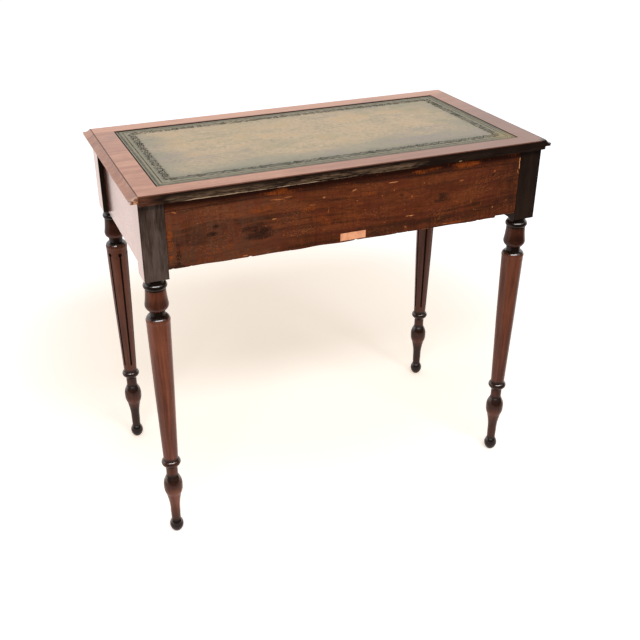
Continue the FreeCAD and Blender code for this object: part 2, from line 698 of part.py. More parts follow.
def stops_and_blocks():
    """Small blocks that stop the drawers, and glue blocks under the back of the top."""
    stops = []
    for name, side in DRAWERS:
        for hand in (-1, 1):
            reach = sided(("front_half - stop_inset - stop_length", "front_half - stop_inset"), hand)
            stops.append(slab("stop", drawer_x(side, reach), ("front_back", "front_back + stop_depth"),
                              ("bay_low", "bay_low + stop_height")))
    part(gathered("stops", stops), "drawer_stops")
    blocks = []
    for step in BLOCK_STEPS:
        x = moved(even("block_length / 2"), "%d * block_spread" % step)
        blocks.append(slab("block", x, ("back_board_in - block_size", "back_board_in"),
                           ("top_under - block_size", "top_under")))
    part(gathered("blocks", blocks), "glue_blocks")


def rail_screw_places():
    """Screws through the front top rail, clear of the locks."""
    y = "frame_front + front_rail_depth / 2"
    return [("%d * (bay_centre + screw_inset)" % side, y) for name, side in DRAWERS]


def kicker_screw_places(side):
    """Screws through one side kicker."""
    x = "%d * (runner_in + side_rail_in) / 2" % side
    return [(x, "front_rail_back + screw_inset"), (x, "back_post_in_y - screw_inset")]


def centre_screw_places():
    """Screws through the middle kicker."""
    return [("0", "front_rail_back + screw_inset"), ("0", "back_board_in - screw_inset")]


def all_screw_places():
    """Every screw that holds the top."""
    found = rail_screw_places() + centre_screw_places()
    for name, side in DRAWERS:
        found += kicker_screw_places(side)
    return found


def screw_solid(name, x, y, gap, length):
    """A countersunk screw that points up, or with a gap the hole that takes it."""
    shank = rod(name + "_shank", "screw_radius + %s" % gap, length, x, y, "bay_high")
    head = cone(name + "_head", "screw_head_radius + %s" % gap, "screw_radius + %s" % gap,
                "screw_head_height", x, y, "bay_high")
    return joined(name, [shank, head])


def screw_holes(spots):
    """The holes for some of the top's screws."""
    return [screw_solid("screw_hole", x, y, "screw_clearance", "screw_length + overrun") for x, y in spots]


def top_screws():
    """The screws that hold the top, as separate solids."""
    screws = []
    for x, y in all_screw_places():
        plain = screw_solid("screw_plain", x, y, "0", "screw_length")
        slot = slab("screw_slot", moved(even("screw_head_radius"), x),
                    moved(even("screw_slot_width / 2"), y),
                    ("bay_high - overrun", "bay_high + screw_slot_depth"))
        screws.append(cut("screw", plain, [slot]))
    part(gathered("screws", screws), "top_screws")


def top_board():
    """The softwood board that carries the banding and the leather."""
    board = slab("board", even("flat_x"), ("flat_front", "flat_back"), ("top_under", "board_top"))
    pilots = []
    for x, y in all_screw_places():
        pilots.append(rod("pilot", "screw_radius + screw_clearance",
                          "screw_length + screw_clearance", x, y, "bay_high"))
    part(cut("top_board", board, pilots), "top_board")
    part(slab("leather", even("leather_x"), ("leather_front", "leather_back"),
              ("board_top", "board_top + leather_thick")), "leather_insert")


def bandings():
    """Four mitred strips round the leather."""
    z = ("board_top", "table_height")
    front = wedge("banding_strip", ("flat_front", "leather_front"), even("flat_x"), even("leather_x"), z, z)
    part(front, "banding_front")
    back = wedge("banding_strip", ("leather_back", "flat_back"), even("leather_x"), even("flat_x"), z, z)
    part(back, "banding_back")
    for name, side in DRAWERS:
        outer = ("flat_front", "flat_back")
        inner = ("leather_front", "leather_back")
        if side > 0:
            strip = wedge("banding_strip", ("leather_x", "flat_x"), flip(inner), flip(outer), z, z)
        else:
            strip = wedge("banding_strip", ("-flat_x", "-leather_x"), flip(outer), flip(inner), z, z)
        turned_to(strip, FreeCAD.Vector(0, 0, 1), -QUARTER_TURN)
        part(strip, "banding_" + name)


def moulding_bar(name, length):
    """The edge moulding's section, drawn to a length along X with its foot at y = 0."""
    body = doc.addObject("PartDesign::Body", name)
    sketch = outline(body, name + "_section", "YZ_Plane", [
        ("0", "moulding_under", "0"),
        ("0", "table_height - quirk_depth", "0"),
        ("-quirk_width", "table_height - quirk_depth", "0"),
        ("-quirk_width", "table_height - ovolo_drop", "-ovolo_bulge"),
        ("-moulding_width", "moulding_under + nose_height", "-nose_bulge"),
        ("-moulding_width + nose_return", "moulding_under", "0"),
    ])
    pad = body.newObject("PartDesign::Pad", name + "_pad")
    pad.Profile = sketch
    pad.Midplane = True
    bind(pad, "Length", length)
    return body


def mouldings():
    """The thumb moulding along the front and the ends, mitred at the front corners."""
    z = ("moulding_under - overrun", "table_height + overrun")
    bar = moulding_bar("front_bar", "top_length + overrun")
    place(bar, "0", "flat_front")
    mitre = wedge("front_mitre", ("flat_front - moulding_width", "flat_front"),
                  even("flat_x + moulding_width"), even("flat_x"), z, z)
    part(common("front_moulding", bar, mitre), "moulding_front")
    for name, side in DRAWERS:
        bar = moulding_bar("end_bar", "top_depth * 2")
        turned_to(bar, FreeCAD.Vector(0, 0, 1), QUARTER_TURN * side)
        place(bar, "%d * flat_x" % side)
        outer = ("-flat_back", "-flat_front + moulding_width")
        inner = ("-flat_back", "-flat_front")
        if side > 0:
            mitre = wedge("end_mitre", ("flat_x", "flat_x + moulding_width"), inner, outer, z, z)
        else:
            mitre = wedge("end_mitre", ("-flat_x - moulding_width", "-flat_x"), outer, inner, z, z)
        turned_to(mitre, FreeCAD.Vector(0, 0, 1), -QUARTER_TURN)
        part(common("end_moulding", bar, mitre), "moulding_" + name)


def label():
    """The old paper label on the back board, left bare."""
    paper = slab("paper", moved(even("label_width / 2"), "label_offset"),
                 ("frame_back", "frame_back + label_thick"),
                 ("back_board_foot + label_rise", "back_board_foot + label_rise + label_height"))
    part(paper, "paper_label")


def drawer_x(side, span):
    """A stretch given from a drawer's middle, put in the table's frame."""
    return moved(span, "%d * bay_centre" % side)


def tails(side, hand, y_tip, y_root, middle, steps):
    """Dovetails on one end of a drawer side, wide at the tip and narrow at the root."""
    x = drawer_x(side, sided(("side_inner", "front_half"), hand))
    found = []
    for step in steps:
        centre = "%s + %d * tail_pitch" % (middle, step) if len(steps) > 2 else (
            "%s + %d * tail_pitch / 2" % (middle, step))
        wide = moved(even("tail_width / 2 + tail_flare"), centre)
        narrow = moved(even("tail_width / 2"), centre)
        if number(y_tip) < number(y_root):
            found.append(wedge("tail", (y_tip, y_root), x, x, wide, narrow))
        else:
            found.append(wedge("tail", (y_root, y_tip), x, x, narrow, wide))
    return found


def drawer_corner_tails(side):
    """The dovetails of one drawer: front and back ends of both sides."""
    front = {}
    back = {}
    for hand in (-1, 1):
        front[hand] = tails(side, hand, "tail_tip", "front_back", "tail_middle", TAIL_STEPS)
        back[hand] = tails(side, hand, "drawer_rear", "back_front", "back_tail_middle", BACK_TAIL_STEPS)
    return front, back


def bottom_space(side):
    """The drawer bottom's own space, in its grooves."""
    return (drawer_x(side, even("side_inner + groove_depth")),
            ("front_back - groove_depth", "drawer_rear"), ("bottom_low", "bottom_high"))


def keyhole(name, gap, y, length, side):
    """A keyhole's shape, wider by a gap, from a plane back along Y."""
    x = "%d * bay_centre" % side
    eye = rod(name + "_eye", "keyhole_radius + %s" % gap, length, x, y, "keyhole_z", "y")
    slot = slab(name + "_slot", moved(even("keyhole_slot_width / 2 + %s" % gap), x),
                (y, "(%s) + (%s)" % (y, length)),
                ("keyhole_z - keyhole_slot_length - (%s)" % gap, "keyhole_z"))
    return joined(name, [eye, slot])


def drawer_front(name, side, front_tails):
    """A drawer front, rebated for its bead and sunk for its lock, knobs and dovetails."""
    board = slab("front_board", drawer_x(side, even("front_half - bead_thick")),
                 ("frame_front", "front_back"), ("front_low + bead_thick", "front_high - bead_thick"))
    core = slab("front_core", drawer_x(side, even("front_half")),
                ("frame_front + bead_depth - bead_stand", "front_back"), ("front_low", "front_high"))
    whole = joined("front_whole", [board, core])
    tools = front_tails[-1] + front_tails[1]
    tools.append(slab("front_groove", *bottom_space(side)))
    for hand in (-1, 1):
        x = "%d * bay_centre + %d * knob_spread / 2" % (side, hand)
        tools.append(rod("knob_hole", "knob_spigot_radius + joint_clearance",
                         "drawer_front_thick + 2 * overrun", x, "frame_front - overrun", "knob_height", "y"))
    tools.append(slab("lock_mortise", drawer_x(side, even("lock_half_width")),
                      ("lock_front", "front_back + overrun"), ("lock_foot", "front_high + overrun")))
    tools.append(slab("plate_recess", drawer_x(side, even("plate_half")),
                      ("plate_front", "front_back + overrun"), ("plate_foot", "front_high + overrun")))
    tools.append(slab("selvedge_recess", drawer_x(side, even("plate_half")),
                      ("lock_front", "front_back + overrun"), ("lock_top", "front_high + overrun")))
    tools.append(keyhole("front_keyhole", "joint_clearance", "frame_front - overrun",
                         "drawer_front_thick + overrun", side))
    tools.append(keyhole("escutcheon_sinking", "escutcheon_rim + joint_clearance",
                         "frame_front - overrun", "overrun + escutcheon_depth + joint_clearance", side))
    tools += lock_screws(side, "screw_clearance", "pin_hole")
    return part(cut("drawer_front", whole, tools), "drawer_%s_front" % name)


def drawer_side(name, side, hand, front_tails, back_tails):
    """A drawer side with dovetails at both ends and a groove for the bottom."""
    x = drawer_x(side, sided(("side_inner", "front_half"), hand))
    board = slab("side_board", x, ("front_back", "back_front"), ("drawer_foot", "side_high"))
    heel = slab("side_heel", x, ("back_front", "drawer_rear"), ("drawer_foot", "bottom_high"))
    whole = joined("side_whole", [board, heel] + front_tails[hand] + back_tails[hand])
    groove = slab("side_groove", *bottom_space(side))
    hand_name = "right" if hand > 0 else "left"
    return part(cut("drawer_side", whole, [groove]), "drawer_%s_side_%s" % (name, hand_name))


def drawer_back(name, side, back_tails):
    """A drawer back that stands on the bottom, between the dovetails of the sides."""
    board = slab("back_panel", drawer_x(side, even("front_half")), ("back_front", "drawer_rear"),
                 ("bottom_high", "back_high"))
    tools = back_tails[-1] + back_tails[1] + bottom_screws(side, "screw_clearance", "back_pin_hole")
    return part(cut("drawer_back", board, tools), "drawer_%s_back" % name)


def drawer_bottom(name, side):
    """A thin drawer bottom, slid into the grooves from behind."""
    board = slab("bottom_board", *bottom_space(side))
    holes = bottom_screws(side, "screw_clearance", "bottom_pin_hole")
    return part(cut("drawer_bottom", board, holes), "drawer_%s_bottom" % name)


def small_screw(name, gap, x, y, z, along):
    """A small countersunk screw, or with a gap the hole that takes it."""
    shank = rod(name + "_shank", "pin_radius + %s" % gap, "pin_length + %s" % gap, x, y, z, along)
    head = cone(name + "_head", "pin_head_radius + %s" % gap, "pin_radius + %s" % gap,
                "pin_head_height", x, y, z, along)
    return joined(name, [shank, head])


def bottom_screws(side, gap, name):
    """Screws up through the bottom into the drawer back."""
    y = "drawer_rear - drawer_back_thick / 2"
    middle = "%d * bay_centre" % side
    spots = [middle + " + %d * side_inner / 2" % step for step in (-1, 0, 1)]
    return [small_screw(name, gap, x, y, "bottom_low", None) for x in spots]


def lock_screws(side, gap, name):
    """Screws through the lock plate into the drawer front, pointing forwards."""
    found = []
    for hand in (-1, 1):
        x = "%d * bay_centre + %d * (plate_half - lock_screw_inset)" % (side, hand)
        for z in ("plate_foot + lock_screw_inset", "lock_top - 2 * lock_screw_inset"):
            shank = rod(name + "_shank", "pin_radius + %s" % gap, "pin_length + %s" % gap,
                        x, "front_back - pin_length - %s" % gap, z, "y")
            head = cone(name + "_head", "pin_radius + %s" % gap, "pin_head_radius + %s" % gap,
                        "pin_head_height", x, "front_back - pin_head_height", z, "y")
            found.append(joined(name, [shank, head]))
    return found


def drawer_screws(name, side):
    """The small screws of one drawer, as separate solids."""
    screws = bottom_screws(side, "0", "bottom_pin") + lock_screws(side, "0", "lock_pin")
    return part(gathered("drawer_screws", screws), "drawer_%s_screws" % name)


def bead_strip(side, turn, length, reach, middle_z):
    """One mitred strip of cock bead with a rounded nose. Turn 0 lies on the lower edge."""
    nose = "bead_thick / 2"
    y = ("frame_front - bead_stand + %s" % nose, "frame_front - bead_stand + bead_depth")
    bar = slab("bead_bar", even(length), y, ("-%s" % reach, "-%s + bead_thick" % reach))
    front = rod("bead_nose", nose, "2 * (%s)" % length, "-(%s)" % length, y[0],
                "-%s + bead_thick / 2" % reach, "x")
    whole = joined("bead_whole", [bar, front])
    mitre = wedge("bead_mitre", ("-(%s)" % reach, "-(%s) + bead_thick" % reach), even(length),
                  even("%s - bead_thick" % length), flip(("frame_front - bead_stand", y[1])),
                  flip(("frame_front - bead_stand", y[1])))
    turned_to(mitre, FreeCAD.Vector(1, 0, 0), QUARTER_TURN)
    strip = common("bead_strip", whole, mitre)
    turned_to(strip, FreeCAD.Vector(0, 1, 0), turn)
    return place(strip, "%d * bay_centre" % side, "0", middle_z)


def cock_bead(name, side):
    """The four mitred strips of bead round one drawer front."""
    half_height = "(front_high - front_low) / 2"
    strips = []
    for step in range(4):
        across, up = ("front_half", half_height) if step % 2 == 0 else (half_height, "front_half")
        strips.append(bead_strip(side, step * QUARTER_TURN, across, up, "knob_height"))
    return part(gathered("beads", strips), "drawer_%s_cock_bead" % name)


def knob(name, side, hand):
    """A turned wooden knob with its spigot through the drawer front."""
    body = doc.addObject("PartDesign::Body", "knob_body")
    sketch = outline(body, "knob_profile", "XY_Plane", [
        ("0", "drawer_front_thick", "0"),
        ("0", "-knob_length", "0"),
        ("knob_face_radius", "-knob_length", "knob_face_bulge"),
        ("knob_radius", "-knob_wide_height", "knob_under_bulge"),
        ("knob_neck_radius", "-knob_neck_height", "0"),
        ("knob_neck_radius", "-knob_foot_height", "0"),
        ("knob_foot_radius", "-knob_foot_height / 2", "0"),
        ("knob_foot_radius", "0", "0"),
        ("knob_spigot_radius", "0", "0"),
        ("knob_spigot_radius", "drawer_front_thick", "0"),
    ])
    turned(body, "knob_turning", sketch)
    place(body, "%d * bay_centre + %d * knob_spread / 2" % (side, hand), "frame_front", "knob_height")
    hand_name = "right" if hand > 0 else "left"
    return part(body, "drawer_%s_knob_%s" % (name, hand_name))


def lock(name, side):
    """A brass drawer lock: box with its selvedge, back plate with the key pin, and bolt."""
    box = slab("lock_box", drawer_x(side, even("lock_half_width")), ("lock_front", "plate_front"),
               ("lock_foot", "lock_top"))
    selvedge = slab("lock_selvedge", drawer_x(side, even("plate_half")), ("lock_front", "front_back"),
                    ("lock_top", "front_high"))
    hollow = slab("lock_hollow", drawer_x(side, even("lock_half_width - lock_wall")),
                  ("lock_front + lock_wall", "plate_front + joint_clearance"),
                  ("lock_foot + lock_wall", "lock_top - lock_wall"))
    slot = slab("bolt_slot", grown(drawer_x(side, even("bolt_half_width")), "bolt_clearance"),
                grown(("bolt_front", "bolt_back"), "bolt_clearance"),
                ("lock_top - lock_wall - overrun", "front_high + overrun"))
    eye = keyhole("lock_keyhole", "0", "lock_front - overrun", "overrun + lock_wall + overrun / 2", side)
    case = cut("lock_case", joined("lock_solid", [box, selvedge]), [hollow, slot, eye])
    part(case, "drawer_%s_lock_case" % name)

    plate = slab("lock_sheet", drawer_x(side, even("plate_half")), ("plate_front", "front_back"),
                 ("plate_foot", "lock_top"))
    pin = rod("key_pin", "key_pin_radius", "key_pin_length", "%d * bay_centre" % side,
              "plate_front - key_pin_length", "keyhole_z", "y")
    holes = lock_screws(side, "screw_clearance", "plate_pin_hole")
    part(cut("lock_plate", joined("lock_plate_solid", [plate, pin]), holes), "drawer_%s_lock_plate" % name)

    head = slab("bolt_head", drawer_x(side, even("bolt_half_width")), ("bolt_front", "bolt_back"),
                ("bolt_head_foot", "front_high"))
    tail = slab("bolt_tail", drawer_x(side, even("bolt_tail_half_width")), ("bolt_front", "bolt_back"),
                ("bolt_tail_foot", "bolt_head_foot"))
    part(joined("bolt", [head, tail]), "drawer_%s_lock_bolt" % name)

    rim = keyhole("escutcheon_rim_solid", "escutcheon_rim", "frame_front", "escutcheon_depth", side)
    clear = keyhole("escutcheon_eye", "0", "frame_front - overrun", "escutcheon_depth + 2 * overrun", side)
    part(cut("escutcheon", rim, [clear]), "drawer_%s_escutcheon" % name)


def drawer(name, side):
    """One whole drawer."""
    front_tails, back_tails = drawer_corner_tails(side)
    drawer_front(name, side, front_tails)
    for hand in (-1, 1):
        drawer_side(name, side, hand, front_tails, back_tails)
        knob(name, side, hand)
    drawer_back(name, side, back_tails)
    drawer_bottom(name, side)
    cock_bead(name, side)
    lock(name, side)
    drawer_screws(name, side)


def check_and_write():
    """Stop on any failed object or bad shape, then write one file for each sub-part."""
    doc.recompute()
    for thing in doc.Objects:
        if "Invalid" in thing.State or "Error" in thing.State:
            raise RuntimeError("failed: %s %s" % (thing.Name, thing.State))
    for thing in parts:
        if thing.Shape.isNull() or not thing.Shape.isValid() or not thing.Shape.Solids:
            raise RuntimeError("bad shape: " + thing.Label)
    for thing in parts:
        thing.Shape.exportStep("parts/%s.step" % thing.Label)
    print("%d sub-parts" % len(parts))


os.makedirs("parts", exist_ok=True)
fill_sheet("Sizes", [(alias, str(value), meaning) for alias, value, meaning in SIZES])
places = fill_sheet("Places", [(alias, "=" + formula, "worked out") for alias, formula in PLACES])

for end in ("front", "back"):
    for hand in ("left", "right"):
        leg(hand, end)
for side_name, side_sign in DRAWERS:
    side_rail(side_name, side_sign)
back_board()
front_bottom_rail()
front_top_rail()
divider()
inner_frame()
stops_and_blocks()
top_board()
bandings()
mouldings()
top_screws()
label()
for drawer_name, drawer_side_sign in DRAWERS:
    drawer(drawer_name, drawer_side_sign)
check_and_write()
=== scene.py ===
import math
import random

import bmesh
import bpy
import numpy as np
from bpy.props import FloatProperty, FloatVectorProperty, PointerProperty
from mathutils import Matrix, Vector, noise


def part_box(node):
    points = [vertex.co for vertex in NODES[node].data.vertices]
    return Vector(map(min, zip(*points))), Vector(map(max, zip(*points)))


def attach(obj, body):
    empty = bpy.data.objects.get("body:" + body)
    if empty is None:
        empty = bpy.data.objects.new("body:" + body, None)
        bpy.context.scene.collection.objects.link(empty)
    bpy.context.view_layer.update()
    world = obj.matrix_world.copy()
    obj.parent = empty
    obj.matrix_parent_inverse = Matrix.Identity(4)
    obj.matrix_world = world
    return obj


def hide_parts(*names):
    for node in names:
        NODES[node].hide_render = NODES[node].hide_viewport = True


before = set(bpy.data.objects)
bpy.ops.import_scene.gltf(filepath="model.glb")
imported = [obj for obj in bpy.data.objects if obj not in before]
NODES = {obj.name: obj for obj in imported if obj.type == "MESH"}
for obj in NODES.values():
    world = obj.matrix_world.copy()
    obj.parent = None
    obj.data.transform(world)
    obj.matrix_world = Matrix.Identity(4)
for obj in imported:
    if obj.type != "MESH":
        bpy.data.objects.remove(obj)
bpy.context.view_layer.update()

bl_info = {
    "name": "Leather-topped Writing Table",
    "version": (1, 0, 0),
    "blender": (4, 5, 0),
    "location": "View3D > Sidebar > Writing Table",
    "description": "Finishes a mahogany writing table: leather, wood, locks and a pale studio",
    "category": "Add Mesh",
}

MM = 0.001
LEATHER_LOW, LEATHER_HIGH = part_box("leather_insert")
BOARD_LOW, BOARD_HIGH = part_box("back_board")
TOP_LOW, TOP_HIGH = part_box("top_board")
POST_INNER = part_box("leg_back_left")[1].x


def colour(name, default, description):
    """A colour setting."""
    return FloatVectorProperty(name=name, description=description, default=default, size=3,
                               subtype="COLOR", min=0, max=1)


def length(name, default, description):
    """A length setting, given in millimetres and kept in metres."""
    return FloatProperty(name=name, description=description, default=default * MM, min=0,
                         unit="LENGTH", subtype="DISTANCE", precision=4)


def metres(name, default, description, **limits):
    """A place or a size, in metres."""
    return FloatProperty(name=name, description=description, default=default, unit="LENGTH",
                         subtype="DISTANCE", precision=4, **limits)


# Settings

class LeatherSettings(bpy.types.PropertyGroup):
    """Colours of the writing leather and places of its tooled border."""
    worn: colour("Worn middle", (0.590, 0.440, 0.275), "Tan colour where the dye has worn away")
    bare: colour("Bare", (0.780, 0.630, 0.430), "Pale raised grain in the worn middle")
    tan: colour("Tan", (0.640, 0.430, 0.220), "Warm patches in the worn middle")
    mauve: colour("Mauve", (0.370, 0.300, 0.265), "Purple grey patches")
    olive: colour("Olive", (0.320, 0.315, 0.190), "Green patches in the faded leather")
    ground: colour("Ground", (0.380, 0.330, 0.235), "Olive grey of the faded leather")
    margin: colour("Margin", (0.245, 0.232, 0.168), "Green grey near the border")
    moss: colour("Corner", (0.420, 0.290, 0.060), "Yellow green of the most worn corner")
    tool: colour("Tooling", (0.036, 0.034, 0.024), "Blackened lines of the tooled border")
    # The gap line and its widths below are the dark gap with painted shadow beside the banding,
    # widest along the front
    gap: colour("Gap", (0.022, 0.011, 0.007), "Dark line between the leather and the banding")
    gap_shadow_front: length("Gap, front", 6.4, "Width of the dark line along the front")
    gap_shadow_right: length("Gap, right", 2.9, "Width of the dark line at the right end")
    gap_shadow_back: length("Gap, back", 3.0, "Width of the dark line along the back")
    gap_shadow_left: length("Gap, left", 3.0, "Width of the dark line at the left end")
    rope_inset: length("Rope inset", 7.2, "Leather's edge to the middle of the rope line")
    rope_width: length("Rope width", 4.4, "Width of the rope line")
    rope_pitch: length("Rope pitch", 4.2, "Spacing of the rope's strands")
    pale_inset: length("Pale line inset", 12.2, "Leather's edge to the pale line inside the rope")
    line_inset: length("Line inset", 14.6, "Leather's edge to the fine line inside the rope")
    line_width: length("Line width", 1.6, "Width of the fine lines")
    scroll_inset: length("Scroll inset", 28.8, "Leather's edge to the middle of the scroll band")
    scroll_height: length("Scroll height", 18.0, "Width of the scroll band")
    scroll_pitch: length("Scroll pitch", 34.0, "Length of one repeat of the scroll")


class WoodSettings(bpy.types.PropertyGroup):
    """Colours of the table's woods."""
    banding_light: colour("Banding, light", (0.680, 0.330, 0.205), "Crossbanding's light streaks")
    banding_dark: colour("Banding, dark", (0.420, 0.165, 0.098), "Crossbanding's dark streaks")
    # Colour of random stains, and also the painted shade that darkens the crossbanding towards its
    # left end
    banding_stain_and_shade: colour("Banding, dull", (0.280, 0.145, 0.105), "Crossbanding away from the sun")
    frame_light: colour("Frame, light", (0.240, 0.075, 0.040), "Light streaks of the frame")
    frame_dark: colour("Frame, dark", (0.050, 0.014, 0.008), "Dark streaks of the frame")
    leg_light: colour("Legs, light", (0.235, 0.072, 0.036), "Light streaks of the turned legs")
    leg_dark: colour("Legs, dark", (0.078, 0.022, 0.012), "Dark streaks of the turned legs")
    leg_deep: colour("Legs, deep", (0.040, 0.009, 0.004), "Dark polish on the vases and bulbs")
    # Also used as painted shade in the legs' hollows and flutes, at the top's back left corner and
    # on the left moulding's end
    grime: colour("Grime", (0.010, 0.005, 0.003), "Old polish and dirt in the hollows")
    post_light: colour("Post's back, light", (0.092, 0.064, 0.052), "Grime rubbed pale in places")
    post_dark: colour("Post's back, dark", (0.018, 0.010, 0.006), "Grime behind the right post")
    banding_edge: colour("Banding's back edge", (0.120, 0.042, 0.022), "Crossbanding's dirty edge")
    moulding_end: colour("Moulding's end", (0.170, 0.050, 0.020), "Worn end of the right moulding")
    board_light: colour("Back board, light", (0.270, 0.055, 0.007), "The board's orange stains")
    board_warm: colour("Back board, warm", (0.178, 0.043, 0.013), "Light fibres of the back board")
    board_red: colour("Back board, red", (0.100, 0.019, 0.008), "Redder patches of the back board")
    board_mid: colour("Back board, middle", (0.046, 0.012, 0.004), "Dark fibres of the back board")
    board_dark: colour("Back board, dark", (0.019, 0.008, 0.005), "Late wood of the back board")
    board_haze: colour("Board, haze", (0.300, 0.150, 0.090), "Dusty film on the board's right part")
    # This colour is painted shadow under the top's overhang
    board_top_shadow: colour("Back board, under the top", (0.024, 0.005, 0.002), "Grime under the top")
    nick: colour("Nicks", (0.420, 0.130, 0.035), "Orange wood in small nicks")
    scar: colour("Scars", (0.620, 0.330, 0.160), "Bare wood in scratches and chips")
    # Rubbed grime and painted sheen on the top's back edge
    edge_grime_and_sheen: colour("Top's edge, grey", (0.130, 0.078, 0.045), "Rubbed grime on the back edge")
    edge_dark: colour("Top's edge, dark", (0.011, 0.005, 0.003), "Grime on the top's back edge")
    arris: colour("Arris", (0.420, 0.290, 0.180), "Bare wood along the top's lower arris")
    lining: colour("Drawer linings", (0.330, 0.215, 0.110), "Planed oak of the drawers")
    softwood: colour("Softwood", (0.400, 0.245, 0.115), "Bare softwood inside the frame")


class StageSettings(bpy.types.PropertyGroup):
    """The studio: floor, light and camera."""
    camera_x: metres("Camera X", 0.680, "How far the camera stands to the right")
    camera_y: metres("Camera Y", 1.6416, "How far the camera stands behind the table")
    camera_z: metres("Camera Z", 1.2785, "Height of the camera above the floor")
    azimuth: FloatProperty(name="Azimuth", description="Turn of the view about the upright axis",
                           default=math.radians(158.597), subtype="ANGLE")
    elevation: FloatProperty(name="Elevation", description="How far the camera looks down",
                             default=math.radians(29.003), subtype="ANGLE")
    roll: FloatProperty(name="Roll", description="Tilt of the camera", default=math.radians(-0.5),
                        subtype="ANGLE")
    lens: FloatProperty(name="Lens", description="Focal length on a 36 mm sensor, in millimetres",
                        default=50.854)
    shift_x: FloatProperty(name="Shift X", description="Sideways lens shift", default=0.03876)
    shift_y: FloatProperty(name="Shift Y", description="Upward lens shift", default=0.01883)
    floor: colour("Floor", (0.90, 0.92, 0.95), "Pale floor")
    glow: colour("Floor's glow", (0.45, 0.34, 0.22), "The floor's own light in full shadow")
    sky: FloatProperty(name="Sky", description="Soft light from all round", default=0.5, min=0)
    key: FloatProperty(name="Key lamp", description="Power of the large lamp, in watts",
                       default=140, min=0)
    key_width: metres("Key width", 4.6, "Width of the large lamp", min=0)
    key_height: metres("Key height", 0.8, "Height of the large lamp", min=0)


# Materials

class Socket:
    """One value in a finish, which can be used in sums."""

    def __init__(self, finish, socket):
        self.finish = finish
        self.socket = socket

    def maths(self, operation, first, second=0.0):
        """One sum, as a Math node."""
        return self.finish.node("ShaderNodeMath", {"operation": operation}, {0: first, 1: second})

    def __add__(self, other):
        return self.maths("ADD", self, other)

    def __radd__(self, other):
        return self.maths("ADD", other, self)

    def __sub__(self, other):
        return self.maths("SUBTRACT", self, other)

    def __rsub__(self, other):
        return self.maths("SUBTRACT", other, self)

    def __mul__(self, other):
        return self.maths("MULTIPLY", self, other)

    def __rmul__(self, other):
        return self.maths("MULTIPLY", other, self)

    def __truediv__(self, other):
        return self.maths("DIVIDE", self, other)

    def __rtruediv__(self, other):
        return self.maths("DIVIDE", other, self)

    def __gt__(self, other):
        return self.maths("GREATER_THAN", self, other)

    def __lt__(self, other):
        return self.maths("LESS_THAN", self, other)

    def __abs__(self):
        return self.maths("ABSOLUTE", self)

    def least(self, other):
        """The smaller of two values."""
        return self.maths("MINIMUM", self, other)

    def most(self, other):
        """The larger of two values."""
        return self.maths("MAXIMUM", self, other)


def shaded(tint, share):
    """A colour made darker or lighter."""
    return tuple(min(1, part * share) for part in tint)


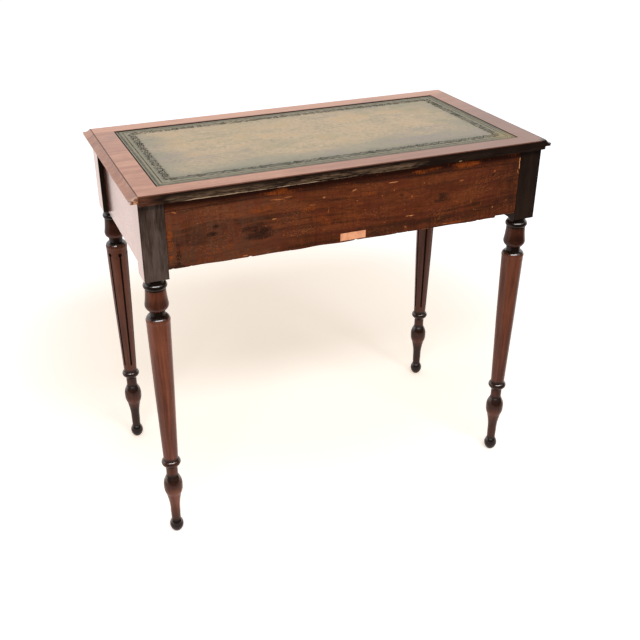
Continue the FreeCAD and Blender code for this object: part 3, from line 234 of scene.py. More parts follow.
class Finish:
    """One material or the world, made node by node."""

    def __init__(self, name, kind="materials"):
        self.owner = getattr(bpy.data, kind).new(name)
        self.owner.use_nodes = True
        self.tree = self.owner.node_tree
        self.tree.nodes.clear()

    def node(self, kind, settings=None, sockets=None, out=0):
        """Add a node, set it up, fill its sockets and give back one of its outputs."""
        new = self.tree.nodes.new(kind)
        for key, value in (settings or {}).items():
            setattr(new, key, value)
        for key, value in (sockets or {}).items():
            target = new.inputs[key]
            if isinstance(value, Socket):
                self.tree.links.new(value.socket, target)
            elif target.type == "RGBA":
                target.default_value = (*tuple(value)[:3], 1)
            else:
                target.default_value = value
        return Socket(self, new.outputs[out]) if new.outputs else None

    def place(self):
        """The table's own coordinates, in metres."""
        return self.node("ShaderNodeTexCoord", out="Object")

    def parts(self, vector, letters="XYZ"):
        """The numbers of a vector along the axes that are named."""
        return [self.node("ShaderNodeSeparateXYZ", None, {0: vector}, letter) for letter in letters]

    def facing(self, letters):
        """How far the surface faces along the axes that are named, from -1 to 1."""
        return self.parts(self.node("ShaderNodeNewGeometry", out="Normal"), letters)

    def away(self, vector, point):
        """How far a place is from a point, in metres."""
        return self.node("ShaderNodeVectorMath", {"operation": "DISTANCE"}, {0: vector, 1: point},
                         "Value")

    def kept(self, name, out="Fac"):
        """A number or a vector that is kept on the points of the mesh."""
        return self.node("ShaderNodeAttribute", {"attribute_name": name}, None, out)

    def ray(self, kind):
        """1 for the rays of one kind, 0 for the others."""
        return self.node("ShaderNodeLightPath", out="Is %s Ray" % kind)

    def stretched(self, vector, scale, offset=(0, 0, 0)):
        """A vector scaled and shifted, number by number."""
        scaled = self.node("ShaderNodeVectorMath", {"operation": "MULTIPLY"}, {0: vector, 1: scale})
        if offset == (0, 0, 0):
            return scaled
        return self.node("ShaderNodeVectorMath", {"operation": "ADD"}, {0: scaled, 1: offset})

    def cloud(self, vector, scale=1.0, detail=3.0, rough=0.55, distortion=0.0, shift=(0, 0, 0)):
        """Soft noise from 0 to 1. A scale of three numbers stretches it, and a shift moves it."""
        if isinstance(scale, tuple):
            vector = self.stretched(vector, scale, shift)
            scale = 1.0
        return self.node("ShaderNodeTexNoise", None, {
            "Vector": vector, "Scale": scale, "Detail": detail, "Roughness": rough,
            "Distortion": distortion})

    def between(self, value, low, high, bottom=0.0, top=1.0):
        """A smooth rise of a value from one level to another."""
        return self.node("ShaderNodeMapRange", {"interpolation_type": "SMOOTHSTEP"}, {
            "Value": value, "From Min": low, "From Max": high, "To Min": bottom, "To Max": top})

    def fall(self, value, low, high):
        """A smooth fall from 1 to 0 while a value goes from one level to another."""
        return self.between(value, low, high, 1.0, 0.0)

    def blend(self, share, first, second):
        """Two colours mixed."""
        return self.node("ShaderNodeMix", {"data_type": "RGBA"}, {0: share, 6: first, 7: second}, 2)

    def bump(self, height, depth):
        """A normal that follows a height, whose full depth is given in metres."""
        return self.node("ShaderNodeBump", None, {
            "Height": height, "Distance": depth, "Strength": 1.0})

    def shade(self, **sockets):
        """The surface itself. Names are the shader's sockets, with lines for spaces."""
        named = {key.replace("_", " "): value for key, value in sockets.items()}
        shader = self.node("ShaderNodeBsdfPrincipled", None, named)
        self.node("ShaderNodeOutputMaterial", None, {"Surface": shader})
        return self.owner


# Turns that bring the grain of wood along an axis
GRAIN_TURN = {"X": (0, 0, 0), "Y": (0, 0, math.pi / 2), "Z": (0, math.pi / 2, 0)}


def grain_space(finish, axis, seed):
    """Coordinates whose X runs along the wood, away from those of other pieces."""
    return finish.node("ShaderNodeMapping", None, {
        "Vector": finish.place(), "Rotation": GRAIN_TURN[axis],
        "Location": (seed * 0.37, seed * 0.73, seed * 1.19)})


def mahogany(finish, axis, seed, light, dark, figure=1.0):
    """The colour of mahogany, its dark pores and its relief, all drawn out along the grain."""
    space = grain_space(finish, axis, seed)
    waver = finish.cloud(space, (3, 9, 9), 2)
    ribbon = finish.cloud(finish.stretched(space, (2.2, 34, 34)), 1.4 * figure, 3, 0.6, 0.6)
    streak = finish.cloud(space, (9, 260, 260), 3, 0.6)
    pores = finish.cloud(space, (60, 1500, 1500), 2, 0.5)
    mottle = finish.cloud(space, (26, 40, 40), 2)
    tone = finish.between(ribbon * 0.62 + streak * 0.28 + waver * 0.25 + mottle * 0.12, 0.45, 0.86)
    pore = finish.between(pores, 0.60, 0.72)
    wood = finish.blend(tone, dark, light)
    return finish.blend(pore * 0.45, wood, dark), pore, pores * 0.5 + streak * 0.5


def polished_wood(name, axis, seed, light, dark, gloss=0.24, figure=1.0, coat=0.2, coat_rough=0.1,
                  coat_index=1.5):
    """Old polished mahogany."""
    finish = Finish(name)
    wood, pore, relief = mahogany(finish, axis, seed, light, dark, figure)
    wear = finish.cloud(finish.place(), 14, 4, 0.6)
    return finish.shade(Base_Color=wood, Roughness=gloss + wear * 0.16 + pore * 0.10,
                        Normal=finish.bump(relief, 0.00006), Coat_Weight=coat,
                        Coat_Roughness=coat_rough, Coat_IOR=coat_index, IOR=1.45)


# Seams between the crossbanding and the mouldings
SEAM_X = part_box("banding_right")[1].x
SEAM_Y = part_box("banding_front")[0].y
# How far the painted shade on the left moulding's end reaches, and how softly both ends begin
SHADED_END = 26 * MM
END_BLEND = 8 * MM


def banding_finish(name, seed, wood, bright=1.0, end=None, end_chip_glint=None):
    """Crossbanding or moulding with a dirty back: painted shade darkens its left end, its back left
    corner and the left moulding's end, and a painted sheen lightens its front strip.
    """
    finish = Finish(name)
    light = shaded(wood.banding_light, bright)
    dark = shaded(wood.banding_dark, bright)
    body, pore, relief = mahogany(finish, "X", seed, light, dark, 1.2)
    place = finish.place()
    x, y = finish.parts(place, "XY")
    bars = finish.cloud(place, (4, 52, 4), 3, 0.6, 0.3, shift=(seed, seed, 0))
    body = finish.blend(finish.between(bars, 0.46, 0.66) * 0.60, body, dark)
    fleck = finish.cloud(place, (70, 260, 70), 4, 0.7, shift=(seed, 0, 0))
    body = finish.blend(finish.between(fleck, 0.48, 0.64) * 0.50, body, dark)
    # Painted sheen lightening the crossbanding's front strip
    front = finish.between(y, LEATHER_LOW.y - 0.002, LEATHER_LOW.y - 0.006)
    body = finish.blend(front * 0.55, body, shaded(light, 1.25))
    stain = finish.cloud(place, (9, 16, 9), 4, 0.65, 0.5, shift=(0, seed, 0))
    body = finish.blend(finish.between(stain, 0.52, 0.72) * 0.40, body, wood.banding_stain_and_shade)
    # Painted shade darkening the crossbanding towards its left end, less along the front
    dull = finish.fall(x + (stain - 0.5) * 0.2, -0.45, 0.28)
    dull = dull * finish.between(y, -0.16, 0.04, 0.10, 1.0)
    body = finish.blend(dull * 0.85, body, wood.banding_stain_and_shade)
    rough = finish.cloud(place, 14, 4, 0.6) * 0.16 + 0.24 + pore * 0.1
    coat = 0.1
    back = finish.between(finish.facing("Y")[0], 0.6, 0.8)
    # The end colour is worn wood on the right moulding, and painted shade in the grime colour on
    # the left moulding
    if end:
        start = BOARD_HIGH.y if end_chip_glint else BOARD_HIGH.y - SHADED_END
        worn = finish.between(y + (stain - 0.5) * 0.02, start, start + END_BLEND)
        back = back.most(worn)
        if end_chip_glint:
            rough = rough - worn * 0.12
            coat = worn * 0.6 + 0.1
    body = finish.blend(back * 0.9, body, end or wood.banding_edge)
    # Painted shade at the back left corner of the top
    corner = finish.away(place, (-SEAM_X, TOP_HIGH.y, TOP_HIGH.z))
    corner = finish.between(corner + (fleck - 0.5) * 0.02, 0.008, 0.018, 0.9, 0.0)
    body = finish.blend(corner, body, wood.grime)
    seam = finish.fall(abs(abs(x) - SEAM_X), 0.0003, 0.0009)
    seam = seam.most(finish.between(abs(y - SEAM_Y), 0.0003, 0.0008, 0.6, 0.0))
    body = finish.blend(seam * finish.between(stain, 0.35, 0.50, 0.45, 0.95) * (1 - back), body,
                        wood.banding_edge)
    # Pale chips on the right moulding's worn end are painted highlights
    if end_chip_glint:
        chip = finish.cloud(place, (160, 90, 260), 3, 0.7, shift=(seed, 0, 0))
        body = finish.blend(worn * finish.between(chip, 0.50, 0.58), body, end_chip_glint)
    return finish.shade(Base_Color=body, Roughness=rough, Normal=finish.bump(relief, 0.00005),
                        Coat_Weight=coat, Coat_Roughness=0.12, IOR=1.45)


# Heights on a leg, and the radii of its column
CALF_FOOT = 75 * MM
CALF_HEAD = 118 * MM
BULB_FOOT = 95 * MM
BULB_MIDDLE = 120 * MM
COLUMN_FOOT = 187 * MM
FLUTE_FOOT = 200 * MM
FLUTE_HEAD = 488 * MM
COLUMN_HEAD = 495.3 * MM
COLUMN_FOOT_RADIUS = 14.7 * MM
COLUMN_HEAD_RADIUS = 22.5 * MM
COLUMN_SWELL = 0.5 * MM
VASE_FOOT = COLUMN_HEAD + 5 * MM
POST_FOOT = 585 * MM
# Dirt and painted shade on a leg, darkest in its hollows, from the floor up: height in metres and
# how dark
LEG_DIRT_AND_SHADE = (
    (0, 1.0), (0.029, 0.95), (0.036, 0.60), (0.055, 0.40), (0.085, 0.05), (0.105, 0.05),
    (0.120, 0.45), (0.139, 0.70), (0.145, 0.85), (0.150, 0.25), (0.162, 0.25), (0.167, 0.9),
    (0.170, 0.6), (0.182, 0.6), (0.185, 0.85), (0.192, 0.1), (0.300, 0.0), (0.497, 0.0),
    (0.502, 0.20), (0.506, 0.75), (0.508, 1.0), (0.516, 0.9), (0.521, 0.2), (0.528, 0.35),
    (0.538, 0.50), (0.553, 0.20), (0.560, 0.35), (0.5625, 0.95), (0.584, 1.0), (0.587, 0.25),
)
# Each leg's brightness, and how dark it is below its bulb
LEGS = {"leg_front_left": (0.65, 0.74), "leg_front_right": (0.75, 0.76),
        "leg_back_left": (0.80, 0.55), "leg_back_right": (1.10, 0.05)}


def profile(finish, value, steps):
    """A value that follows a table of steps, smooth from each to the next."""
    total = 0.0
    for (foot, before), (head, after) in zip(steps, steps[1:]):
        if before or after:
            rise = finish.between(value, foot, head, before, after)
            total = rise * ((value > foot) - (value > head)) + total
    return total


def leg_finish(name, seed, wood, back_light, back_dark):
    """A turned leg: dirt and painted shade in its hollows, painted shade in its flutes, a grimy
    back and a bright outer face.
    """
    tone, calf_dark = LEGS[name]
    low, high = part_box(name)
    middle = (low + high) / 2
    finish = Finish(name + "_wood")
    light = shaded(wood.leg_light, tone)
    dark = shaded(wood.leg_dark, tone)
    body, pore, relief = mahogany(finish, "Z", seed, light, dark)
    place = finish.place()
    x, y, z = finish.parts(place)
    patch = finish.cloud(place, 22, 3, 0.6)
    # Dirt and painted shade in the hollows, and darker towards the foot below the bulb
    dirt = profile(finish, z, LEG_DIRT_AND_SHADE).most(finish.between(z, CALF_HEAD, CALF_FOOT) * calf_dark)
    dirt = finish.between(dirt + (patch - 0.5) * 0.3, 0.0, 1.0)
    deep = finish.between(z, VASE_FOOT, VASE_FOOT + 0.007)
    deep = deep * finish.fall(z, POST_FOOT - 0.002, POST_FOOT)
    deep = deep.most(finish.between(z, COLUMN_FOOT, COLUMN_FOOT - 0.006)
                     * finish.between(z, BULB_FOOT, BULB_MIDDLE))
    deep = deep * finish.between(patch, 0.35, 0.65, 0.35, 0.9)
    body = finish.blend(deep, body, shaded(wood.leg_deep, tone))
    body = finish.blend(dirt, body, wood.grime)

    # The flutes: whatever lies deeper than the column's own outline, painted dark as shade
    off = finish.node("ShaderNodeCombineXYZ", None, {0: x - middle.x, 1: y - middle.y})
    reach = finish.node("ShaderNodeVectorMath", {"operation": "LENGTH"}, {0: off}, "Value")
    share = (z - COLUMN_FOOT) / (COLUMN_HEAD - COLUMN_FOOT)
    column = share * (COLUMN_HEAD_RADIUS - COLUMN_FOOT_RADIUS) + COLUMN_FOOT_RADIUS
    column = column + (1 - abs(share * 2 - 1)) * COLUMN_SWELL
    flute_shade = finish.between(column - reach, 0.0003, 0.0005)
    flute_shade = flute_shade * finish.between(z, FLUTE_FOOT, FLUTE_FOOT + 0.001)
    flute_shade = flute_shade * finish.fall(z, FLUTE_HEAD, FLUTE_HEAD + 0.0005)
    body = finish.blend(flute_shade, body, wood.grime)

    # The post: a grimy back and inner face, and a bright outer face
    post = finish.between(z, POST_FOOT, POST_FOOT + 0.0002)
    face_x, face_y, face_z = finish.facing("XYZ")
    back = post * finish.between(face_y, 0.6, 0.8)
    side = 1 if middle.x > 0 else -1
    outer = post * finish.between(face_x * side, 0.6, 0.8)
    back = back.most(post * finish.between(face_x * -side, 0.6, 0.8))
    rub = finish.cloud(place, (330, 330, 26), 5, 0.7, shift=(seed, 0, 0))
    smear = finish.cloud(place, (70, 70, 22), 3, 0.6, shift=(0, seed, 0))
    low_rub = finish.between(z, 0.70, 0.61) * 0.14
    middle_rub = finish.between(abs(x - middle.x + 0.002), 0.001, 0.010, 0.10, 0.0)
    rubbed = rub * 0.65 + smear * 0.50 + low_rub + middle_rub
    grimy = finish.blend(finish.between(rubbed, 0.42, 0.88), back_dark, back_light)
    body = finish.blend(back * 0.96, body, grimy)
    rough = patch * 0.14 + 0.20 + pore * 0.08 + back * 0.25 + flute_shade * 0.6 - outer * 0.14
    upward = finish.between(face_z, 0.22, 0.50)
    polish = (upward * 0.85 + 0.12) * (1 - post) * (1 - flute_shade) + outer * 0.85
    return finish.shade(Base_Color=body, Roughness=rough, Normal=finish.bump(relief, 0.00006),
                        Coat_Weight=polish, Coat_Roughness=0.07, Coat_IOR=1.8, IOR=1.25,
                        Specular_IOR_Level=0.3)


def plain_wood(name, axis, seed, light, dark, rough=0.7):
    """Bare planed wood with growth rings and a little dirt."""
    finish = Finish(name)
    space = grain_space(finish, axis, seed)
    warp = finish.cloud(space, (2.5, 12, 12), 2)
    rings = finish.cloud(space, (1.2, 70, 70), 2, 0.5, 0.4)
    fibre = finish.cloud(space, (18, 700, 700), 3, 0.6)
    tone = finish.between(rings * 0.7 + fibre * 0.35 + warp * 0.2, 0.42, 0.9)
    soil = finish.between(finish.cloud(space, (7, 11, 11), 4), 0.48, 0.75)
    wood = finish.blend(tone, dark, light)
    wood = finish.blend(soil * 0.35, wood, shaded(dark, 0.45))
    relief = finish.bump(fibre, 0.00012)
    return finish.shade(Base_Color=wood, Roughness=rough - fibre * 0.1, Normal=relief)


BRASS, BRASS_STAIN = (0.62, 0.42, 0.16), (0.16, 0.09, 0.035)
IRON, IRON_STAIN = (0.30, 0.28, 0.26), (0.10, 0.055, 0.035)


def old_metal(name, base, stain, rough):
    """Dull metal with darker stains and fine scratches."""
    finish = Finish(name)
    place = finish.place()
    tarnish = finish.between(finish.cloud(place, 55, 5, 0.65), 0.42, 0.68)
    scratch = finish.cloud(place, (2600, 160, 160), 2)
    metal = finish.blend(tarnish * 0.8, base, stain)
    relief = finish.bump(scratch, 0.00003)
    return finish.shade(Base_Color=metal, Roughness=tarnish * 0.25 + rough, Metallic=1.0,
                        Normal=relief)


# The corner of the leather that is worn most, and the middle of its yellow green
WORN_CORNER = Vector((LEATHER_LOW.x, LEATHER_HIGH.y, LEATHER_HIGH.z))
MOSS_MIDDLE = WORN_CORNER + Vector((0.018, -0.020, 0))


def leather_finish(settings):
    """Faded writing leather: green grey near its border, tan and creased in the middle."""
    finish = Finish("writing_leather")
    place = finish.place()
    x, y = finish.parts(place, "XY")
    middle = (LEATHER_LOW + LEATHER_HIGH) / 2
    half = (LEATHER_HIGH - LEATHER_LOW) / 2
    inset = (half.x - abs(x - middle.x)).least((y - LEATHER_LOW.y) * 1.5)
    inset = inset.least((LEATHER_HIGH.y - y) * 0.75)
    broad = finish.cloud(place, (4, 7, 7), 3, 0.55, 0.4, shift=(2, 5, 0))
    drift = finish.cloud(place, (13, 20, 20), 4, 0.65, 0.6)
    crease = finish.cloud(place, (120, 300, 300), 5, 0.75, 0.8)
    grain = finish.node("ShaderNodeTexVoronoi", {"feature": "F1"}, {
        "Vector": place, "Scale": 900.0})
    worn = finish.between(inset + (broad - 0.5) * 0.30 + (drift - 0.5) * 0.16, 0.020, 0.122)
    body = finish.blend(worn, settings.ground, settings.worn)
    hue = finish.cloud(place, (6, 10, 10), 4, 0.6, 0.6, shift=(3, 7, 0))
    body = finish.blend(finish.between(hue + (drift - 0.5) * 0.3, 0.52, 0.68) * 0.65, body,
                        settings.mauve)
    body = finish.blend(finish.fall(hue + (drift - 0.5) * 0.3, 0.30, 0.46) * 0.50, body,
                        settings.olive)
    green = finish.between(inset + (drift - 0.5) * 0.03, 0.018, 0.046)
    body = finish.blend(green, settings.margin, body)
    olive = finish.between(drift + (crease - 0.5) * 0.7, 0.50, 0.66)
    body = finish.blend(olive * 0.50, body, settings.ground)
    dark_crease = finish.between(crease, 0.52, 0.66)
    body = finish.blend(dark_crease * 0.50, body, shaded(settings.ground, 0.5))
    light_crease = finish.fall(crease, 0.34, 0.48)
    body = finish.blend(light_crease * 0.55 * worn, body, settings.bare)
    tan = finish.between(drift, 0.47, 0.37) * worn
    body = finish.blend(tan * 0.55, body, settings.tan)
    moss = finish.fall(finish.away(place, MOSS_MIDDLE) + drift * 0.05, 0.030, 0.066)
    body = finish.blend(moss * finish.between(crease, 0.36, 0.60, 0.20, 0.75), body, settings.moss)
    rough = drift * 0.16 + 0.44 + dark_crease * 0.08
    relief = finish.bump(crease * 0.7 + grain * 0.3, 0.00026)
    return finish.shade(Base_Color=body, Roughness=rough, Normal=relief, Coat_Weight=0.1,
                        Coat_Roughness=0.35, IOR=1.45)


def tooling_finish(name, line, settings, faint):
    """Tooled lines, rubbed thin in places."""
    finish = Finish(name)
    place = finish.place()
    rub = finish.between(finish.cloud(place, (90, 90, 90), 4, 0.7), 0.44, 0.66)
    handled = finish.fall(finish.away(place, WORN_CORNER) + rub * 0.02, 0.030, 0.085)
    body = finish.blend((rub * faint).most(handled * faint), line, settings.ground)
    return finish.shade(Base_Color=body, Roughness=0.8, IOR=1.35, Specular_IOR_Level=0.08)


def board_finish(settings):
    """Stained softwood whose growth rings bend round its knots, with stains, scars and a painted
    shadow under the top.
    """
    finish = Finish("stained_back_board")
    flow = finish.kept("grain", "Vector")
    rings = finish.cloud(flow, (1.6, 62, 95), 3, 0.6, 0.5)
    fine = finish.cloud(flow, (13, 480, 620), 4, 0.7)
    fleck = finish.cloud(flow, (60, 300, 210), 5, 0.75)
    patch = finish.cloud(flow, (13, 14, 40), 5, 0.65)
    body = finish.blend(finish.between(fine * 0.50 + fleck * 0.60 + patch * 0.55, 0.62, 0.98),
                        settings.board_mid, settings.board_warm)
    late = finish.between(rings + (fine - 0.5) * 0.6, 0.50, 0.64)
    body = finish.blend(late * 0.60, body, settings.board_dark)
    glow = finish.fall(patch + (fine - 0.5) * 0.9 + (rings - 0.5) * 0.6, 0.30, 0.50)
    body = finish.blend(glow * 0.14, body, settings.board_light)
    grime = finish.between(patch + (fleck - 0.5) * 0.9, 0.52, 0.72)
    body = finish.blend(grime * 0.50, body, settings.board_dark)
    place = finish.place()
    x, z = finish.parts(place, "XZ")
    hue = finish.cloud(place, (16, 1, 34), 3, 0.6)
    body = finish.blend(finish.between(hue + (fleck - 0.5) * 0.4, 0.44, 0.62) * 0.55, body,
                        settings.board_red)
    hatch = finish.cloud(place, (520, 1, 150), 3, 0.6)
    brush = finish.cloud(place, (150, 1, 26), 3, 0.65)
    body = finish.blend(finish.between(brush + (fleck - 0.5) * 1.2, 0.46, 0.74) * 0.30, body,
                        settings.board_dark)
    murky = finish.between(x + (patch - 0.5) * 0.15, 0.02, 0.38) * finish.between(z, 0.70, 0.61)
    murky = murky.most(finish.between(x, -0.22, -0.35) * 0.6)
    murky = murky.most(finish.between(z, 0.640, 0.604) * 0.6)
    body = finish.blend(murky * finish.between(brush, 0.35, 0.60, 0.15, 0.55), body,
                        settings.board_dark)
    haze = finish.between(x + (patch - 0.5) * 0.15, 0.08, 0.22, 0.0, 0.8)
    body = finish.blend(haze * finish.between(brush, 0.35, 0.65, 0.04, 0.16), body,
                        settings.board_haze)
    rag = (fleck - 0.5) * 1.4 + (fine - 0.5) * 1.3 + (hatch - 0.5) * 1.6
    body = finish.blend(finish.between(finish.kept("smoke") + rag, 0.10, 1.25), body,
                        settings.board_dark)
    speck = finish.cloud(place, (260, 1, 480), 4, 0.75)
    body = finish.blend(finish.between(speck + (patch - 0.5) * 0.6, 0.58, 0.72) * 0.34, body,
                        settings.nick)
    body = finish.blend(finish.between(speck, 0.42, 0.32) * 0.35, body, settings.board_dark)
    # Painted shadow of the top's overhang along the board's upper edge
    under = finish.between(z + (patch - 0.5) * 0.022 + (fleck - 0.5) * 0.012, TOP_LOW.z - 0.027,
                           TOP_LOW.z - 0.008)
    body = finish.blend(under * 0.90, body, settings.board_top_shadow)
    body = finish.blend(finish.between(finish.kept("amber") + rag * 1.2, 0.20, 1.25) * 0.85, body,
                        settings.board_light)
    scar = finish.kept("scar") + rag * 0.3
    body = finish.blend(finish.between(scar, 0.18, 0.45) * 0.8, body, settings.nick)
    body = finish.blend(finish.between(scar, 0.50, 0.85), body, settings.scar)
    rough = patch * 0.18 + 0.50 + late * 0.08
    relief = finish.bump(fine * 0.5 - late * 0.4 + fleck * 0.4, 0.00040)
    return finish.shade(Base_Color=body, Roughness=rough, Normal=relief, IOR=1.3,
                        Specular_IOR_Level=0.1)


def edge_finish(settings):
    """The dark back edge of the top, with grey streaks of rubbed grime and painted sheen, and a
    bare worn arris underneath.
    """
    finish = Finish("worn_top_edge")
    place = finish.place()
    x, z = finish.parts(place, "XZ")
    fibre = finish.cloud(place, (40, 700, 700), 5, 0.7)
    patch = finish.cloud(place, (16, 60, 60), 4, 0.6)
    # Grey streaks: rubbed grime and painted sheen, mostly in the lower part
    grime_and_sheen = finish.between(fibre + (patch - 0.5) * 0.9, 0.42, 0.62)
    grime_and_sheen = grime_and_sheen.most(finish.between(x, 0.08, 0.26) * finish.between(fibre, 0.42, 0.60, 0.15, 0.85))
    grime_and_sheen = grime_and_sheen * finish.between(z, TOP_LOW.z + 0.0125, TOP_LOW.z + 0.0085, 0.25, 0.9)
    body = finish.blend(grime_and_sheen, settings.edge_dark, settings.edge_grime_and_sheen)
    dull = finish.fall(x + (patch - 0.5) * 0.1, -0.16, -0.08)
    dull = dull.most(finish.between(x + (patch - 0.5) * 0.05, 0.342, 0.358))
    dull = dull.most(finish.between(z, TOP_HIGH.z - 0.0045, TOP_HIGH.z - 0.0025) * 0.8)
    body = finish.blend(dull * 0.92, body, settings.edge_dark)
    brown = finish.between(x + (patch - 0.5) * 0.06, 0.356, 0.388)
    body = finish.blend(brown * finish.between(fibre, 0.40, 0.60, 0.3, 0.9), body,
                        settings.banding_edge)
    bare = finish.kept("wear") + (fibre - 0.5) * 1.8 + (patch - 0.5) * 0.8
    bare = finish.between(bare, 0.46, 0.70)
    body = finish.blend(bare, body, settings.arris)
    relief = finish.bump(fibre, 0.0006)
    return finish.shade(Base_Color=body, Roughness=0.6 - bare * 0.05, Normal=relief, IOR=1.3,
                        Specular_IOR_Level=0.1)


PAPER = (0.800, 0.330, 0.160)
PAPER_STAIN = (0.560, 0.170, 0.070)
PAPER_FIBRE = (0.90, 0.55, 0.34)


def paper_finish():
    """Old orange paper with soft stains."""
    finish = Finish("old_paper")
    place = finish.place()
    stain = finish.between(finish.cloud(place, 120, 4, 0.6), 0.42, 0.70)
    fibre = finish.cloud(place, 1400, 3, 0.6)
    body = finish.blend(stain * 0.7, PAPER, PAPER_STAIN)
    body = finish.blend(fibre * 0.25, body, PAPER_FIBRE)
    return finish.shade(Base_Color=body, Roughness=0.8, Normal=finish.bump(fibre, 0.00006))


# Shapes

def in_scene(name, data):
    """An object put in the scene."""
    thing = bpy.data.objects.new(name, data)
    bpy.context.scene.collection.objects.link(thing)
    return thing


def new_piece(name, points, faces, material, replaces=(), smooth=True):
    """A mesh piece that rides on the table and may stand for nodes."""
    mesh = bpy.data.meshes.new(name)
    mesh.from_pydata(points, [], faces)
    mesh.validate()
    mesh.polygons.foreach_set("use_smooth", [smooth] * len(mesh.polygons))
    mesh.update()
    mesh.materials.append(material)
    piece = in_scene(name, mesh)
    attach(piece, "table")
    if replaces:
        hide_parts(*replaces)
    return piece


def dress(names, material):
    """Give a finish to nodes that are shown as they are."""
    for name in names:
        for slot in NODES[name].material_slots:
            slot.material = material


def paint(mesh, name, values):
    """Keep one number for each point of a mesh, for its finish to read."""
    layer = mesh.attributes.new(name, "FLOAT", "POINT")
    layer.data.foreach_set("value", np.asarray(values, np.float32))


def lattice(columns, rows):
    """The faces of a grid whose points run along its columns first."""
    faces = []
    for row in range(rows - 1):
        for column in range(columns - 1):
            first = row * columns + column
            faces.append((first, first + 1, first + columns + 1, first + columns))
    return faces


def closed_sweep(stations, rings):
    """The faces of rings of points joined one after another, closed at both ends."""
    faces = []
    for station in range(stations - 1):
        for step in range(rings):
            here = station * rings
            following = (step + 1) % rings
            faces.append((here + step, here + following, here + rings + following,
                          here + rings + step))
    faces.append(tuple(reversed(range(rings))))
    faces.append(tuple(range((stations - 1) * rings, stations * rings)))
    return faces


def thick_sheet(points, columns, rows, axis, level, turned=False):
    """Close a grid of points with walls and a flat far side, and give back all the faces.

    The far side lies at a level of one axis, and turned makes the faces look the other way.
    """
    faces = lattice(columns, rows)
    rim = list(range(columns))
    rim += [row * columns + columns - 1 for row in range(1, rows)]
    rim += [(rows - 1) * columns + column for column in range(columns - 2, -1, -1)]
    rim += [row * columns for row in range(rows - 2, 0, -1)]
    count = len(points)
    for index in rim:
        far = list(points[index])
        far[axis] = level
        points.append(tuple(far))
    for step in range(len(rim)):
        following = (step + 1) % len(rim)
        faces.append((rim[following], rim[step], count + step, count + following))
    faces.append(tuple(count + step for step in reversed(range(len(rim)))))
    return [tuple(reversed(face)) for face in faces] if turned else faces


# How far the ribbons reach into the leather, and their heights above it
RIBBON_SINK = 0.1 * MM
GAP_SHADOW_RISE = 0.04 * MM
PALE_RISE = 0.07 * MM
DARK_RISE = 0.10 * MM


class Ribbons:
    """Thin strips laid on one plane, gathered into one mesh."""

    def __init__(self, rise):
        self.height = LEATHER_HIGH.z + rise
        self.foot = LEATHER_HIGH.z - RIBBON_SINK
        self.points = []
        self.faces = []

    def line(self, path, widths):
        """A thin strip along a path of points, with a width at each."""
        start = len(self.points)
        for index, (x, y) in enumerate(path):
            before = path[max(index - 1, 0)]
            after = path[min(index + 1, len(path) - 1)]
            along = Vector((after[0] - before[0], after[1] - before[1])).normalized()
            half = widths[index] / 2
            left = (x - along.y * half, y + along.x * half)
            right = (x + along.y * half, y - along.x * half)
            self.points += [(*left, self.height), (*left, self.foot), (*right, self.foot),
                            (*right, self.height)]
        for face in closed_sweep(len(path), 4):
            self.faces.append(tuple(start + corner for corner in face))


def side_frames():
    """The four sides of the leather: corner, direction along, direction inwards and length."""
    low, high = LEATHER_LOW, LEATHER_HIGH
    width = high.x - low.x
    depth = high.y - low.y
    return [
        (Vector((low.x, low.y)), Vector((1, 0)), Vector((0, 1)), width),
        (Vector((high.x, low.y)), Vector((0, 1)), Vector((-1, 0)), depth),
        (Vector((high.x, high.y)), Vector((-1, 0)), Vector((0, -1)), width),
        (Vector((low.x, high.y)), Vector((0, -1)), Vector((1, 0)), depth),
    ]


SCROLL_STEPS = 15
LEAF_STEPS = 4
# Leaves in half a repeat of the scroll: place along it, place across, lean and length
LEAVES = ((0.03, 0.02, -60, 0.34), (0.08, 0.20, 20, 0.30), (0.12, -0.10, 150, 0.30),
          (0.17, 0.30, -20, 0.22), (0.20, -0.22, 195, 0.26), (0.27, -0.28, 165, 0.22),
          (0.31, 0.34, 25, 0.18), (0.34, -0.14, 120, 0.30), (0.40, 0.16, 70, 0.30),
          (0.43, -0.18, 215, 0.28), (0.47, 0.06, -25, 0.36), (0.24, 0.02, 60, 0.20))


def scroll_repeat(pitch, height):
    """One repeat of the scroll: a wavy stem that curls to both sides, and its leaves."""
    shapes = []
    for start, up in ((0.0, 1), (0.5, -1)):
        stem = []
        curl = []
        for step in range(SCROLL_STEPS + 1):
            share = step / SCROLL_STEPS
            stem.append(((start + share * 0.5) * pitch,
                         up * height * 0.30 * math.sin(math.pi * share)))
            turn = math.radians(-130 + 520 * share)
            size = height * (0.34 - 0.24 * share)
            curl.append(((start + 0.25) * pitch + size * math.sin(turn),
                         up * (size * math.cos(turn) - height * 0.04)))
        shapes.append((stem, [height * 0.052] * len(stem)))
        shapes.append((curl, [height * (0.036 + 0.040 * step / SCROLL_STEPS)
                              for step in range(len(curl))]))
        for place, across, lean, size in LEAVES:
            leaf = []
            widths = []
            for step in range(LEAF_STEPS + 1):
                share = step / LEAF_STEPS
                turn = math.radians(lean + 50 * share)
                far = height * size * share
                leaf.append(((start + place) * pitch + far * math.sin(turn),
                             up * (height * across + far * math.cos(turn))))
                widths.append(height * 0.085 * math.sin(math.pi * min(share + 0.15, 1)) + 0.0003)
            shapes.append((leaf, widths))
    return shapes


# Spacing of a rule's points, and how far they stray to the side
RULE_STEP = 8 * MM
RULE_WANDER = 0.1 * MM
# How thick the strokes of the scroll are left by wear
RUBBED = (0.15, 0.5, 0.9, 1.35, 1.75)


